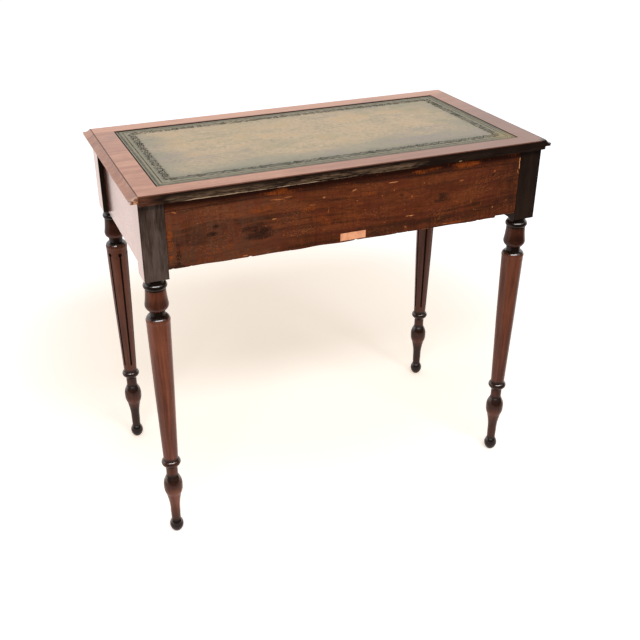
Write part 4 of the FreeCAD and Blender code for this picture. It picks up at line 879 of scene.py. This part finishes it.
def tooling(settings):
    """The border's ribbons: a dark gap with painted shadow, a rope, pale and fine lines and a
    scroll.
    """
    # The gap ribbon is painted shadow in the gap between the leather and the banding
    gap = Ribbons(GAP_SHADOW_RISE)
    dark = Ribbons(DARK_RISE)
    pale = Ribbons(PALE_RISE)
    gap_shadows = (settings.gap_shadow_front, settings.gap_shadow_right, settings.gap_shadow_back, settings.gap_shadow_left)
    draw = random.Random(11)
    for (corner, along, inward, size), gap_shadow_width in zip(side_frames(), gap_shadows):
        def point(run, inset):
            place = corner + along * run + inward * inset
            return place.x, place.y

        def rule(ribbons, inset, width, wander=RULE_WANDER, rough=0.25):
            count = max(2, int((size - 2 * inset) / RULE_STEP))
            path = []
            for step in range(count + 1):
                run = inset + (size - 2 * inset) * step / count
                path.append(point(run, inset + draw.uniform(-wander, wander)))
            ribbons.line(path, [width * draw.uniform(1 - rough, 1 + rough) for _ in path])

        rule(gap, gap_shadow_width * 0.5, gap_shadow_width, 0.0, 0.12)
        rule(pale, settings.pale_inset, settings.line_width)
        rule(pale, settings.line_inset + settings.line_width * 1.4, settings.line_width)
        rule(dark, settings.line_inset, settings.line_width, rough=0.4)
        inset = settings.rope_inset
        count = int((size - 2 * inset) / settings.rope_pitch)
        step_size = (size - 2 * inset) / count
        half = settings.rope_width / 2
        slant = settings.rope_pitch * 0.62
        for step in range(count + 1):
            run = inset + step * step_size
            path = [point(run - slant, inset - half), point(run - slant * 0.2, inset - half * 0.3),
                    point(run + slant * 0.2, inset + half * 0.3), point(run + slant, inset + half)]
            width = settings.rope_pitch * draw.uniform(0.24, 0.40)
            dark.line(path, [width * 0.5, width, width, width * 0.5])
        inset = settings.scroll_inset
        repeats = round((size - 2 * inset) / settings.scroll_pitch)
        pitch = (size - 2 * inset) / repeats
        shapes = scroll_repeat(pitch, settings.scroll_height)
        for repeat in range(repeats):
            for path, widths in shapes:
                shifted = [point(inset + repeat * pitch + px, inset + py) for px, py in path]
                rub = draw.choice(RUBBED)
                dark.line(shifted, [width * rub for width in widths])
    return gap, dark, pale


LEATHER_STEP = 4 * MM
LEATHER_CLEARANCE = 0.2 * MM
# Distances from the leather's edge, and how deep its face is pressed in at each
LEATHER_LIP = (0.0, 0.0006, 0.0015, 0.0030)
LIP_DROP = (0.00045, 0.00012, 0.00003, 0.0)


def spaced(low, high, step, lip):
    """Places between two edges, close together beside each edge."""
    inner = list(np.linspace(low + lip[-1], high - lip[-1], int((high - low) / step)))
    return [low + part for part in lip[:-1]] + inner + [high - part for part in reversed(lip[:-1])]


def leather_sheet(material):
    """The writing leather, a little uneven, its edges pressed down beside the banding."""
    gap = LEATHER_CLEARANCE
    xs = spaced(LEATHER_LOW.x + gap, LEATHER_HIGH.x - gap, LEATHER_STEP, LEATHER_LIP)
    ys = spaced(LEATHER_LOW.y + gap, LEATHER_HIGH.y - gap, LEATHER_STEP, LEATHER_LIP)
    last_x = len(xs) - 1
    last_y = len(ys) - 1
    points = []
    for row, y in enumerate(ys):
        for column, x in enumerate(xs):
            nearest = min(row, last_y - row, column, last_x - column, len(LIP_DROP) - 1)
            swell = noise.noise(Vector((x * 14, y * 22, 0.3))) * 0.00003
            points.append((x, y, LEATHER_HIGH.z - LIP_DROP[nearest] + min(swell, 0)))
    faces = thick_sheet(points, len(xs), len(ys), 2, LEATHER_LOW.z)
    new_piece("leather_sheet", points, faces, material, replaces=["leather_insert"])


# Knots on the back board: x, z and radius, in millimetres
KNOTS = ((275, 658, 8), (268, 671, 5), (-187, 659, 5), (-99, 676, 4), (-296, 690, 4), (196, 652, 5))
# Scratches: x, z, length, width and lean in degrees, with how pale each is
SCARS = (
    (158, 668, 13, 2.4, -4, 0.95), (85, 684, 16, 1.6, 5, 0.45), (61, 695, 7, 3.0, 0, 0.7),
    (-78, 704, 26, 1.4, -2, 0.85), (1, 700, 12, 1.9, -8, 0.9), (-118, 632, 24, 1.4, 3, 0.8),
    (-356, 706, 34, 1.8, 87, 1.0), (-354, 688, 12, 1.4, 66, 0.8), (-196, 604, 20, 2.2, 0, 0.65),
    (150, 704, 34, 1.6, 2, 0.5), (130, 706, 22, 1.4, -3, 0.55), (-121, 671, 5, 4, 0, 0.45),
    (-82, 688, 3, 5, 0, 0.4), (-57, 681, 3, 3, 0, 0.4), (-226, 685, 14, 2, 6, 0.4),
    (343, 708, 14, 2.0, 20, 0.5), (-110, 610, 14, 8, 30, 0.35), (-303, 622, 3, 5, 0, 0.6),
    (343, 710, 18, 2.2, 30, 0.35), (-228, 688, 12, 2.4, 4, 0.6), (-252, 640, 3, 14, 0, 0.3),
    (-275, 633, 2.4, 12, 8, 0.35), (20, 655, 2, 18, 3, 0.3), (-40, 645, 2, 10, -4, 0.3),
    (52, 668, 2.4, 26, 2, 0.35), (214, 606, 14, 3, 2, 0.6), (-64, 627, 10, 2, 12, 0.5),
    (-300, 697, 5, 3, 0, 0.55), (118, 630, 3, 4, 0, 0.3), (150, 612, 4, 2, 0, 0.4),
    (-6, 679, 6, 2, 10, 0.5), (-146, 694, 5, 2, -8, 0.45), (240, 700, 9, 1.6, 4, 0.3),
)
# Orange stains and dark stains: x, z, half length, half height and strength
AMBER = (
    (142, 717, 40, 7, 0.95), (-224, 718, 50, 7, 1.15), (-170, 719, 24, 5, 0.7),
    (93, 676, 18, 7, 0.55), (351, 650, 6, 44, 0.7), (-99, 676, 14, 6, 0.45),
    (-120, 670, 12, 5, 0.45), (-140, 717, 20, 5, 0.6), (200, 690, 60, 6, 0.6),
    (20, 712, 30, 5, 0.45), (-214, 603, 40, 3, 0.8), (60, 650, 16, 20, 0.4),
    (10, 660, 40, 30, 0.35), (-20, 690, 30, 6, 0.5), (250, 630, 40, 26, 0.3),
    (-330, 724, 26, 5, 0.5), (300, 612, 30, 4, 0.5), (-250, 650, 40, 20, 0.25),
)
# The dark stain at x 120, z 726, just under the top, adds to the painted shadow there
SMOKE = (
    (189, 647, 36, 20, 0.85), (180, 648, 18, 10, 1.1), (169, 685, 18, 4, 0.5),
    (338, 627, 6, 32, 0.9), (345, 606, 26, 5, 0.8), (-187, 659, 22, 11, 0.85),
    (-150, 611, 200, 10, 0.6), (-345, 660, 12, 60, 0.6), (305, 650, 26, 20, 0.4),
    (240, 690, 60, 6, 0.35), (150, 663, 30, 6, 0.45), (-60, 620, 90, 8, 0.5),
    (60, 607, 120, 4, 0.7), (-187, 690, 60, 12, 0.3), (120, 726, 60, 6, 0.6),
    (-70, 663, 60, 10, 0.3), (-320, 622, 40, 16, 0.45), (310, 680, 30, 20, 0.35),
)
# Small marks that are strewn over the board, beside the ones above
SMALL_SCARS = 150
BOARD_STEP = 1.3 * MM
BOARD_THICKNESS = 20 * MM


def crack_height(x):
    """The long open joint across the back board, in metres above the floor."""
    return 0.7105 + 0.003 * math.sin(x * 7 + 1.0) + 0.004 * max(0, x * 3 - 0.75)


def lower_edge(x):
    """How far the back board's uneven lower edge stands above or below its usual line."""
    rough = noise.noise(Vector((x * 22, 4.0, 1.0))) * 0.0012
    chip = max(0, noise.noise(Vector((x * 90, 9.0, 2.0))) - 0.25) * 0.0035
    lean = 0.0015 - 0.0055 * (0.35 - x) / 0.66
    step = 0.0042 if x < -0.3125 else 0
    return rough + chip + lean + step


def back_board(settings):
    """The stained back board: bent grain, an open joint, scars and a chipped lower edge."""
    reach = abs(POST_INNER) - 0.1 * MM
    columns = int(2 * reach / BOARD_STEP)
    rows = int((BOARD_HIGH.z - BOARD_LOW.z) / BOARD_STEP)
    points = []
    for row in range(rows + 1):
        for column in range(columns + 1):
            x = -reach + 2 * reach * column / columns
            foot = BOARD_LOW.z + lower_edge(x)
            z = foot + (BOARD_HIGH.z - foot) * row / rows
            gap = abs(z - crack_height(x))
            open_joint = 0.0011 * math.exp(-(gap / 0.0009) ** 2)
            plane = 0.00018 * noise.noise(Vector((x * 5, z * 70, 0)))
            arris = 0.0016 * math.exp(-max(z - foot, 0) / 0.0016)
            points.append((x, BOARD_HIGH.y - 0.00025 - open_joint + plane - arris, z))
    faces = thick_sheet(points, columns + 1, rows + 1, 1, BOARD_HIGH.y - BOARD_THICKNESS,
                        turned=True)
    piece = new_piece("back_board_stained", points, faces, board_finish(settings),
                      replaces=["back_board"])
    board_figure(piece.data)


def stained(layer, x, z, stains, edge, fray):
    """A layer with stains added to it, each an ellipse with a frayed edge."""
    for sx, sz, wide, tall, strength in stains:
        reach = ((x - sx) / wide) ** 2 + ((z - sz) / tall) ** 2
        layer = np.maximum(layer, strength * np.clip(edge - reach + fray, 0, 1))
    return layer


def board_noise(x, z, along, up, seed):
    """Soft noise at each point of the back board, from -1 to 1."""
    return np.array([noise.noise(Vector((px * along, pz * up, seed))) for px, pz in zip(x, z)])


def board_figure(mesh):
    """Work out the back board's grain, stains and scars at each of its points."""
    place = np.array([vertex.co for vertex in mesh.vertices])
    x = place[:, 0] / MM
    z = place[:, 2] / MM
    across = z + board_noise(x, z, 0.004, 0.02, 5) * 9
    ripple = board_noise(x, z, 0.03, 0.09, 8)
    smoke = np.zeros(len(x))
    # The grain bends round each knot, which is dark in its middle and at its rim
    for kx, kz, size in KNOTS:
        dx = (x - kx) / 2.2
        dz = z - kz
        far = dx * dx + dz * dz
        across = across - dz * (size * 1.6) ** 2 / (far + size * size * 1.1)
        smoke = np.maximum(smoke, np.exp(-(far * 4 / (size * size)) ** 1.5) * 1.1)
        ring = np.abs(np.sqrt(far * 4.8) - size * 1.1) / (size * 0.22)
        smoke = np.maximum(smoke, np.exp(-ring * ring) * 1.1)
    amber = stained(np.zeros(len(x)), x, z, AMBER, 1.15, ripple * 1.3)
    smoke = stained(smoke, x, z, SMOKE, 1.1, ripple * 1.2)
    line = np.array([crack_height(px * MM) / MM for px in x])
    smoke = np.maximum(smoke, np.exp(-((z - line) / 1.5) ** 2) * 0.9)
    scar = np.zeros(len(x))
    draw = random.Random(7)
    small = [(draw.uniform(-350, 350), draw.uniform(608, 712), draw.uniform(3, 12),
              draw.uniform(0.6, 1.4), draw.gauss(0, 14), draw.uniform(0.1, 0.55) ** 1.3)
             for _ in range(SMALL_SCARS)]
    for sx, sz, long, wide, lean, pale in SCARS + tuple(small):
        turn = math.radians(lean)
        along = (x - sx) * math.cos(turn) + (z - sz) * math.sin(turn)
        off = (z - sz) * math.cos(turn) - (x - sx) * math.sin(turn)
        reach = (along / (long / 2)) ** 2 + (off / (wide / 2)) ** 2
        scar = np.maximum(scar, pale * np.clip(1.2 - reach + ripple * 1.1, 0, 1))
    foot = np.array([(BOARD_LOW.z + lower_edge(px * MM)) / MM for px in x])
    bare = np.exp(-np.maximum(z - foot, 0) / 1.4) * np.clip(ripple * 3 - 0.35, 0, 0.6)
    paint(mesh, "amber", amber)
    paint(mesh, "smoke", smoke)
    paint(mesh, "scar", np.maximum(scar, bare))
    layer = mesh.attributes.new("grain", "FLOAT_VECTOR", "POINT")
    flow = np.stack([x * MM, place[:, 1], across * MM], axis=1)
    layer.data.foreach_set("vector", flow.astype(np.float32).ravel())


EDGE_STEP = 2.2 * MM
# Heights above the top board's underside at which its worn back edge is cut
EDGE_HEIGHTS = (0, 0.0008, 0.0016, 0.0026, 0.0040, 0.0060, 0.0085, 0.0110, 0.0135, 0.0160)
# How far the top board's worn part reaches in from its back edge
EDGE_DEPTH = 30 * MM


def arris_wear(x):
    """How far the top's lower back arris is rubbed bare, along its length."""
    begins = 1 + math.exp(-(x + 0.05) / 0.04)
    ends = 1 + math.exp((x - 0.328) / 0.003)
    nick = 0.9 if abs(x + 0.214) < 0.003 else 0
    return (0.75 + 0.25 * (x > 0.14)) / begins / ends + nick


def top_slab(settings):
    """The board under the veneer, with a rough worn arris along its back edge."""
    low, high = TOP_LOW, TOP_HIGH
    count = int((high.x - low.x) / EDGE_STEP)
    thick = high.z - low.z
    heights = [part for part in EDGE_HEIGHTS if part < thick] + [thick]
    points = []
    wear = []
    for step in range(count + 1):
        x = low.x + (high.x - low.x) * step / count
        rag = 0.5 + 0.5 * noise.noise(Vector((x * 9, 0, 3)))
        rag += 0.6 * noise.noise(Vector((x * 60, 0, 7)))
        bare = arris_wear(x)
        depth = 0.0003 + 0.0016 * max(0, rag)
        points += [(x, low.y, low.z), (x, high.y - EDGE_DEPTH, low.z),
                   (x, high.y - 0.004 - depth, low.z)]
        wear += [0, 0, 0.3 * bare]
        for part in heights:
            worn = depth * math.exp(-part / 0.0026)
            grain = 0.00022 * noise.noise(Vector((x * 30, part * 700, 1)))
            points.append((x, high.y - worn - 0.0003 + grain, low.z + part))
            wear.append(math.exp(-part / 0.0024) * min(1, max(0.3, rag + 0.5)) * bare)
        points.append((x, low.y, high.z))
        wear.append(0)
    faces = closed_sweep(count + 1, len(heights) + 4)
    piece = new_piece("top_board_worn", points, faces, edge_finish(settings),
                      replaces=["top_board"], smooth=False)
    paint(piece.data, "wear", wear)


# How far from its end a worn moulding's rounding starts, and where it is cut across for it
END_ROUND = 7 * MM
END_CUTS = (0.007, 0.0055, 0.0042, 0.0030, 0.0020, 0.0012, 0.0005)


def worn_moulding(name, material):
    """An end moulding whose back end is rounded by wear."""
    low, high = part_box(name)
    inner = low.x if low.x > 0 else high.x
    foot = low.z + (high.z - low.z) * 0.35
    shape = bmesh.new()
    shape.from_mesh(NODES[name].data)
    for part in END_CUTS:
        bmesh.ops.bisect_plane(shape, geom=shape.verts[:] + shape.edges[:] + shape.faces[:],
                               plane_co=(0, high.y - part, 0), plane_no=(0, 1, 0))
    for vertex in shape.verts:
        share = 1 - (high.y - vertex.co.y) / END_ROUND
        if share > 0:
            pull = 1 - math.sqrt(max(0, 1 - share * share))
            vertex.co.x += (inner - vertex.co.x) * pull * 0.30
            vertex.co.z += (foot - vertex.co.z) * pull * 0.35
    mesh = bpy.data.meshes.new(name + "_worn")
    shape.to_mesh(mesh)
    shape.free()
    mesh.materials.clear()
    mesh.materials.append(material)
    mesh.polygons.foreach_set("material_index", [0] * len(mesh.polygons))
    mesh.polygons.foreach_set("use_smooth", [True] * len(mesh.polygons))
    mesh.set_sharp_from_angle(angle=math.radians(32))
    piece = in_scene(name + "_worn", mesh)
    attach(piece, "table")
    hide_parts(name)


# Operators

class TABLE_OT_leather(bpy.types.Operator):
    """Lay the writing leather and its tooled border"""
    bl_idname = "writing_table.leather"
    bl_label = "Leather"

    def execute(self, context):
        settings = context.scene.table_leather
        leather_sheet(leather_finish(settings))
        # Name, colour, and how faint the ribbons are where they are rubbed
        lines = (("leather_gap_shadow", settings.gap, 0.05), ("leather_tooling", settings.tool, 0.40),
                 ("leather_pale_line", settings.ground, 0.8))
        for ribbons, (name, line, faint) in zip(tooling(settings), lines):
            finish = tooling_finish(name, line, settings, faint)
            new_piece(name, ribbons.points, ribbons.faces, finish, smooth=False)
        return {"FINISHED"}


class TABLE_OT_back_board(bpy.types.Operator):
    """Make the stained back board"""
    bl_idname = "writing_table.back_board"
    bl_label = "Back board"

    def execute(self, context):
        back_board(context.scene.table_wood)
        return {"FINISHED"}


# The mouldings are a little darker than the crossbanding
MOULDING_TONE = 0.85


class TABLE_OT_top(bpy.types.Operator):
    """Finish the top: board, crossbanding and edge moulding"""
    bl_idname = "writing_table.top"
    bl_label = "Top"

    def execute(self, context):
        wood = context.scene.table_wood
        top_slab(wood)
        dress(["banding_front", "banding_back", "banding_left", "banding_right"],
              banding_finish("banding_wood", 3, wood))
        dress(["moulding_front"], banding_finish("moulding_front_wood", 12, wood, MOULDING_TONE))
        # The scar colour gives the right moulding's end its painted highlights
        worn_moulding("moulding_right", banding_finish(
            "moulding_right_wood", 13, wood, MOULDING_TONE, wood.moulding_end, wood.scar))
        # The left moulding's back end is painted shade in the grime colour
        worn_moulding("moulding_left", banding_finish(
            "moulding_left_wood", 14, wood, MOULDING_TONE, wood.grime))
        return {"FINISHED"}


class TABLE_OT_legs(bpy.types.Operator):
    """Finish the four turned legs"""
    bl_idname = "writing_table.legs"
    bl_label = "Legs"

    def execute(self, context):
        wood = context.scene.table_wood
        black = shaded(wood.post_dark, 0.4)
        for seed, name in enumerate(LEGS):
            light = wood.post_light if name == "leg_back_right" else wood.post_dark
            dark = wood.post_dark if name == "leg_back_right" else black
            dress([name], leg_finish(name, 20 + seed * 3, wood, light, dark))
        return {"FINISHED"}


class TABLE_OT_rails(bpy.types.Operator):
    """Finish the side rails and the front of the frame"""
    bl_idname = "writing_table.rails"
    bl_label = "Rails"

    def execute(self, context):
        wood = context.scene.table_wood
        dress(["side_rail_left", "side_rail_right"],
              polished_wood("side_rail_wood", "Y", 41, wood.frame_light, wood.frame_dark, 0.22,
                            coat=1.0, coat_rough=0.18, coat_index=1.7))
        dress(["front_top_rail", "front_bottom_rail"],
              polished_wood("front_rail_wood", "X", 47, wood.frame_light, wood.frame_dark))
        dress(["drawer_divider"],
              polished_wood("divider_wood", "Z", 49, wood.frame_light, wood.frame_dark))
        return {"FINISHED"}


class TABLE_OT_inner_frame(bpy.types.Operator):
    """Finish the softwood inside the frame"""
    bl_idname = "writing_table.inner_frame"
    bl_label = "Inner frame"

    def execute(self, context):
        wood = context.scene.table_wood
        dark = shaded(wood.softwood, 0.45)
        along_y = ["%s_%s" % (kind, place) for kind in ("runner", "guide", "kicker")
                   for place in ("left", "right", "centre")]
        dress(along_y, plain_wood("runner_wood", "Y", 53, wood.softwood, dark))
        dress(["runner_bearer", "glue_blocks", "drawer_stops"],
              plain_wood("bearer_wood", "X", 57, dark, shaded(wood.softwood, 0.2)))
        return {"FINISHED"}


class TABLE_OT_drawers(bpy.types.Operator):
    """Finish the two drawers"""
    bl_idname = "writing_table.drawers"
    bl_label = "Drawers"

    def execute(self, context):
        wood = context.scene.table_wood
        dark = shaded(wood.lining, 0.5)
        soft_dark = shaded(wood.softwood, 0.5)
        bead = polished_wood("bead_wood", "X", 61, wood.leg_light, wood.leg_dark)
        knob = polished_wood("knob_wood", "Y", 63, wood.leg_light, wood.leg_dark, 0.18)
        sides = plain_wood("drawer_side_oak", "Y", 65, wood.lining, dark, 0.6)
        backs = plain_wood("drawer_back_oak", "X", 67, wood.lining, dark, 0.6)
        bottoms = plain_wood("drawer_bottom_wood", "X", 69, wood.softwood, soft_dark)
        for seed, side in enumerate(("left", "right")):
            drawer = "drawer_%s_" % side
            dress([drawer + "front"],
                  polished_wood(drawer + "front_wood", "X", 71 + seed * 5, wood.frame_light,
                                wood.frame_dark, 0.18, 1.5, coat=0.6))
            dress([drawer + "cock_bead"], bead)
            dress([drawer + "knob_left", drawer + "knob_right"], knob)
            dress([drawer + "side_left", drawer + "side_right"], sides)
            dress([drawer + "back"], backs)
            dress([drawer + "bottom"], bottoms)
        return {"FINISHED"}


class TABLE_OT_fittings(bpy.types.Operator):
    """Finish the locks, keyhole rims and screws"""
    bl_idname = "writing_table.fittings"
    bl_label = "Fittings"

    def execute(self, context):
        brass = old_metal("old_brass", BRASS, BRASS_STAIN, 0.28)
        iron = old_metal("old_iron", IRON, IRON_STAIN, 0.42)
        for side in ("left", "right"):
            drawer = "drawer_%s_" % side
            dress([drawer + "lock_case", drawer + "lock_plate", drawer + "escutcheon"], brass)
            dress([drawer + "lock_bolt", drawer + "screws"], iron)
        dress(["top_screws"], iron)
        return {"FINISHED"}


class TABLE_OT_label(bpy.types.Operator):
    """Finish the bare paper label on the back board"""
    bl_idname = "writing_table.label"
    bl_label = "Label"

    def execute(self, context):
        dress(["paper_label"], paper_finish())
        return {"FINISHED"}


KEY_PLACE = Vector((0.45, 3.15, 3.85))
KEY_TARGET = Vector((0, 0, 0.6))
KEY_TINT = (1, 0.99, 0.97)
# Half the floor's width, and how far it lies under the feet
FLOOR_REACH = 9.0
FLOOR_DROP = 0.5 * MM
# Where on the floor the warm shadow under the table is deepest
SHADOW_MIDDLE = (-0.1, -0.5, 0)
# The floor as reflections see it, and the dark behind the camera
FLOOR_MIRRORED = (0.95, 0.86, 0.82)
GLOW_MIRRORED = (0.66, 0.50, 0.46)
GLOW_AWAY = (0.55, 0.55, 0.58)
BEHIND = (0.03, 0.028, 0.026)


def key_lamp(stage):
    """The broad lamp above and behind the camera, aimed at the table."""
    light = bpy.data.lights.new("key_lamp", "AREA")
    light.shape = "RECTANGLE"
    light.size = stage.key_width
    light.size_y = stage.key_height
    light.energy = stage.key
    light.color = KEY_TINT
    lamp = in_scene("key_lamp", light)
    lamp.location = KEY_PLACE
    lamp.rotation_euler = (KEY_TARGET - KEY_PLACE).to_track_quat("-Z", "Y").to_euler()


def seen_directly(finish):
    """1 for what the camera sees directly, in a reflection or through glass."""
    return finish.ray("Camera").most(finish.ray("Glossy")).most(finish.ray("Transmission"))


def studio_floor(stage):
    """A pale floor that keeps the table's shadow; reflections see it end behind the camera."""
    finish = Finish("pale_floor")
    place = finish.place()
    glossy = finish.ray("Glossy")
    behind = finish.between(finish.parts(place, "Y")[0], 0.30, 0.80) * glossy
    pale = finish.blend(glossy, stage.floor, FLOOR_MIRRORED)
    pale = finish.blend(behind, pale, BEHIND)
    matt = finish.node("ShaderNodeBsdfDiffuse", None, {"Color": pale})
    strength = seen_directly(finish) * (1 - behind)
    tint = finish.blend(finish.between(finish.away(place, SHADOW_MIDDLE), 0.50, 1.10), stage.glow,
                        GLOW_AWAY)
    tint = finish.blend(glossy, tint, GLOW_MIRRORED)
    glow = finish.node("ShaderNodeEmission", None, {"Color": tint, "Strength": strength})
    both = finish.node("ShaderNodeAddShader", None, {0: matt, 1: glow})
    finish.node("ShaderNodeOutputMaterial", None, {"Surface": both})
    mesh = bpy.data.meshes.new("floor")
    mesh.from_pydata([(x * FLOOR_REACH, y * FLOOR_REACH, 0)
                      for x, y in ((-1, -1), (1, -1), (1, 1), (-1, 1))], [], [(0, 1, 2, 3)])
    mesh.materials.append(finish.owner)
    floor = in_scene("floor", mesh)
    floor.location.z = -FLOOR_DROP


def studio_world(stage):
    """Soft light all round; reflections see a white backdrop, a dim room and a white panel."""
    sky = Finish("studio", "worlds")
    bpy.context.scene.world = sky.owner
    direct = seen_directly(sky)
    glossy = sky.ray("Glossy")
    y, z = sky.parts(sky.node("ShaderNodeTexCoord", out="Generated"), "YZ")
    # The backdrop fades into the room overhead and behind the camera; the panel hangs there
    room = sky.between(y, -0.35, 0.15, 1.0, 0.08) * sky.between(z, 0.55, 0.80, 1.0, 0.15)
    panel = sky.between(z, 0.38, 0.46) * sky.fall(z, 0.86, 0.92) * sky.between(y, 0.25, 0.40)
    strength = direct * (1.0 - stage.sky) + stage.sky
    strength = strength * (1 - glossy * (1 - room.most(panel)))
    back = sky.node("ShaderNodeBackground", None, {"Color": (1, 1, 1), "Strength": strength})
    sky.node("ShaderNodeOutputWorld", None, {"Surface": back})


def studio_camera(stage):
    """The camera, placed and turned by the stage's settings, with nothing out of focus."""
    data = bpy.data.cameras.new("camera")
    data.lens = stage.lens
    data.sensor_width = 36
    data.shift_x = stage.shift_x
    data.shift_y = stage.shift_y
    data.dof.use_dof = False
    camera = in_scene("camera", data)
    level = math.cos(stage.elevation)
    back = Vector((math.sin(stage.azimuth) * level, -math.cos(stage.azimuth) * level,
                   math.sin(stage.elevation)))
    right = (-back).cross(Vector((0, 0, 1))).normalized()
    up = right.cross(-back)
    turn = Matrix((right, up, back)).transposed() @ Matrix.Rotation(stage.roll, 3, "Z")
    place = Matrix.Translation((stage.camera_x, stage.camera_y, stage.camera_z))
    camera.matrix_world = place @ turn.to_4x4()
    return camera


class TABLE_OT_stage(bpy.types.Operator):
    """Set up the pale studio and the camera"""
    bl_idname = "writing_table.stage"
    bl_label = "Stage"

    def execute(self, context):
        stage = context.scene.table_stage
        studio_floor(stage)
        studio_world(stage)
        key_lamp(stage)
        context.scene.camera = studio_camera(stage)
        context.scene.view_settings.view_transform = "Standard"
        return {"FINISHED"}


class TABLE_PT_writing_table(bpy.types.Panel):
    """Buttons for each group of pieces"""
    bl_idname = "TABLE_PT_writing_table"
    bl_label = "Writing Table"
    bl_space_type = "VIEW_3D"
    bl_region_type = "UI"
    bl_category = "Writing Table"

    def draw(self, context):
        for operator in OPERATORS:
            self.layout.operator(operator.bl_idname)
        for name, settings in SETTINGS:
            column = self.layout.column()
            for key in settings.__annotations__:
                column.prop(getattr(context.scene, name), key)


OPERATORS = (TABLE_OT_leather, TABLE_OT_back_board, TABLE_OT_top, TABLE_OT_legs, TABLE_OT_rails,
             TABLE_OT_inner_frame, TABLE_OT_drawers, TABLE_OT_fittings, TABLE_OT_label,
             TABLE_OT_stage)
SETTINGS = (("table_leather", LeatherSettings), ("table_wood", WoodSettings),
            ("table_stage", StageSettings))


def register():
    """Add the settings, operators and panel."""
    for name, settings in SETTINGS:
        bpy.utils.register_class(settings)
        setattr(bpy.types.Scene, name, PointerProperty(type=settings))
    for operator in OPERATORS:
        bpy.utils.register_class(operator)
    bpy.utils.register_class(TABLE_PT_writing_table)


def unregister():
    """Take away the panel, operators and settings."""
    bpy.utils.unregister_class(TABLE_PT_writing_table)
    for operator in reversed(OPERATORS):
        bpy.utils.unregister_class(operator)
    for name, settings in reversed(SETTINGS):
        delattr(bpy.types.Scene, name)
        bpy.utils.unregister_class(settings)


def main():
    """Build the finished table."""
    register()
    for operator in OPERATORS:
        group, name = operator.bl_idname.split(".")
        getattr(getattr(bpy.ops, group), name)()


if __name__ == "__main__":
    main()
